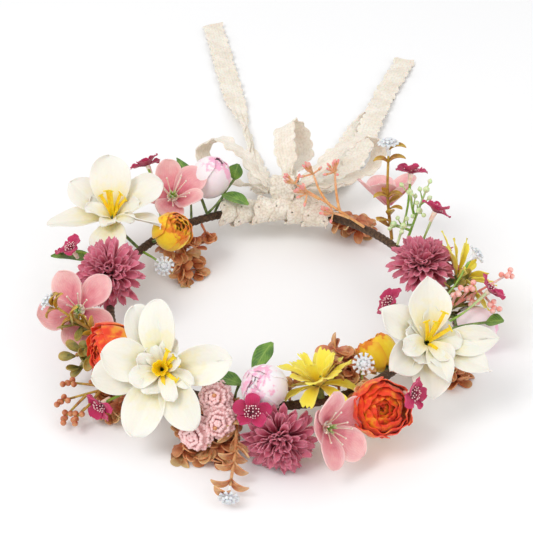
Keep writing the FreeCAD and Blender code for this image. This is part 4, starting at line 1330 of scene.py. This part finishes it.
for bloom_name in ("yellow_bud_back", "yellow_bud_right"):
    wrapped_bloom(bloom_name, YELLOW, "yellow_fabric", YELLOW_LAYERS, 6.4)
for bloom_name in ("peony_bud_back", "peony_bud_front", "peony_bud_right"):
    wrapped_bloom(bloom_name, PEONY, "blush_fabric", PEONY_LAYERS, 7.0, 1.1, 9.8)
# Whorls of a daisy: petals, length, width, slope at the base and at the tip, and height of the feet.
daisy("daisy_front", 0, ((7, 21, 9.5, 8, -30, 0.6), (8, 21, 9.5, 40, 18, 1.2), (6, 18, 7.5, 60, 44, 2.0)),
      0.12, 0.6, 0.5, 0.7)
daisy("daisy_right", 20, ((13, 25, 4.8, 22, 2, 1.0), (9, 21, 4.2, 52, 40, 1.8)), 0.0, 0.0, 1.2, 0.0)
fuchsia_blossoms()
pompoms()
white_stars()
green_leaves()
rust_sprays()
filler("filler_leaves.left", OLIVE, "leaf_fabric",
       [(198, 200, 25, 22), (204, 215, 5, 24), (208, 200, -15, 22), (203, 235, 10, 20)], (9.0, 5.5))
filler("filler_berries.left", RUST, "rust_plastic", [(206, 190, 0, 20), (212, 215, -20, 20)])
filler("filler_leaves.right", OLIVE, "leaf_fabric",
       [(352, 20, 10, 20), (346, 200, 15, 14), (358, 345, -15, 18), (4, 350, 30, 18)], (9.0, 5.2))
filler("filler_leaves.front", AMBER, "ochre_plastic",
       [(276, 75, 20, 12), (286, 60, 10, 14), (294, 100, 35, 13), (300, 290, 35, 14)], (8.0, 5.2))
filler("filler_leaves.back", RUST, "rust_plastic", [(118, 290, -25, 14), (125, 300, -30, 12)], (8.5, 6.0))
filler("filler_berries.front", RUST, "rust_plastic", [(262, 200, 30, 16), (256, 250, 0, 17)])
star_sprig("star_sprig_back", OCHRE, "ochre_plastic", 1.25)
star_sprig("star_sprig_left", OCHRE, "ochre_plastic", 1.1)
star_sprig("drop_sprig_front", AMBER, "ochre_plastic", 1.1)
tipped_sprig("green_berry_sprig", LIME, BERRY, "pale_green_plastic", berry_tip, "berries")
tipped_sprig("peach_bud_sprig", PEACH, BUD, "peach_plastic", bud_cluster, "buds")
tipped_sprig("peach_berry_sprig", CORAL, CORAL, "coral_plastic", berry_cluster, "berries")
tipped_sprig("rust_berry_sprig", OCHRE, RUST, "rust_plastic", berry_cluster, "berries")
wound_band()
wound_lace()
knot()
loop_strip("left", 20)
loop_strip("right", -20)
loop_strip("upper", 25)
tail_strip("left", 0.3, 0.4, 62, 0.55)
tail_strip("right", 1.0, 0.24, -20, 0.15, (22, 130, 3.0))

for node, cad_object in frame["nodes"].items():
    if cad_object.hide_render:
        continue
    cad_object.data.materials.clear()
    cad_object.data.materials.append(STEEL if node == "band_wire" else GREEN)

# ---------------------------------------------------------------- stage, light and camera


def backdrop():
    look = Look("studio_floor", Roughness=0.9)
    colour = look.mix(look.noise(400.0), paint(252, 252, 252), paint(247, 247, 248))
    mesh = bpy.data.meshes.new("floor")
    size = 3.0
    corners = [(-size, -size, 0), (size, -size, 0), (size, size, 0), (-size, size, 0)]
    mesh.from_pydata(corners, [], [(0, 1, 2, 3)])
    mesh.materials.append(look.done(colour, look.noise(3.0), 0.02))
    floor = bpy.data.objects.new("floor", mesh)
    bpy.context.scene.collection.objects.link(floor)


def area_light(name, position, aim, size, power):
    data = bpy.data.lights.new(name, "AREA")
    data.shape, data.size, data.energy = "DISK", size, power
    lamp = bpy.data.objects.new(name, data)
    bpy.context.scene.collection.objects.link(lamp)
    lamp.location = position
    lamp.rotation_euler = (Vector(aim) - Vector(position)).to_track_quat("-Z", "Y").to_euler()


def studio():
    world = bpy.data.worlds.new("studio")
    world.use_nodes = True
    background = world.node_tree.nodes["Background"].inputs
    background["Color"].default_value, background["Strength"].default_value = (1, 1, 1, 1), 0.82
    bpy.context.scene.world = world
    area_light("key", (-0.7, -0.5, 1.2), (0, 0, 0), 0.7, 7.0)
    area_light("fill", (0.9, -0.6, 0.8), (0, 0, 0), 0.9, 2.2)
    bpy.context.scene.view_settings.view_transform = "Standard"


def camera():
    """A long lens from in front, looking down on the crown."""
    elevation, distance, lens = math.radians(36.5), 0.9, 107.4
    data = bpy.data.cameras.new("camera")
    data.sensor_width, data.lens = 36.0, lens
    data.clip_start, data.clip_end = 0.05, 10
    eye = bpy.data.objects.new("camera", data)
    bpy.context.scene.collection.objects.link(eye)
    aim = Vector((-0.0019, 0.0285, 0.022))
    back = Vector((0, -math.cos(elevation), math.sin(elevation)))
    eye.location = aim + back * distance
    eye.rotation_euler = (math.pi / 2 - elevation, 0, 0)
    bpy.context.scene.camera = eye


backdrop()
studio()
camera()
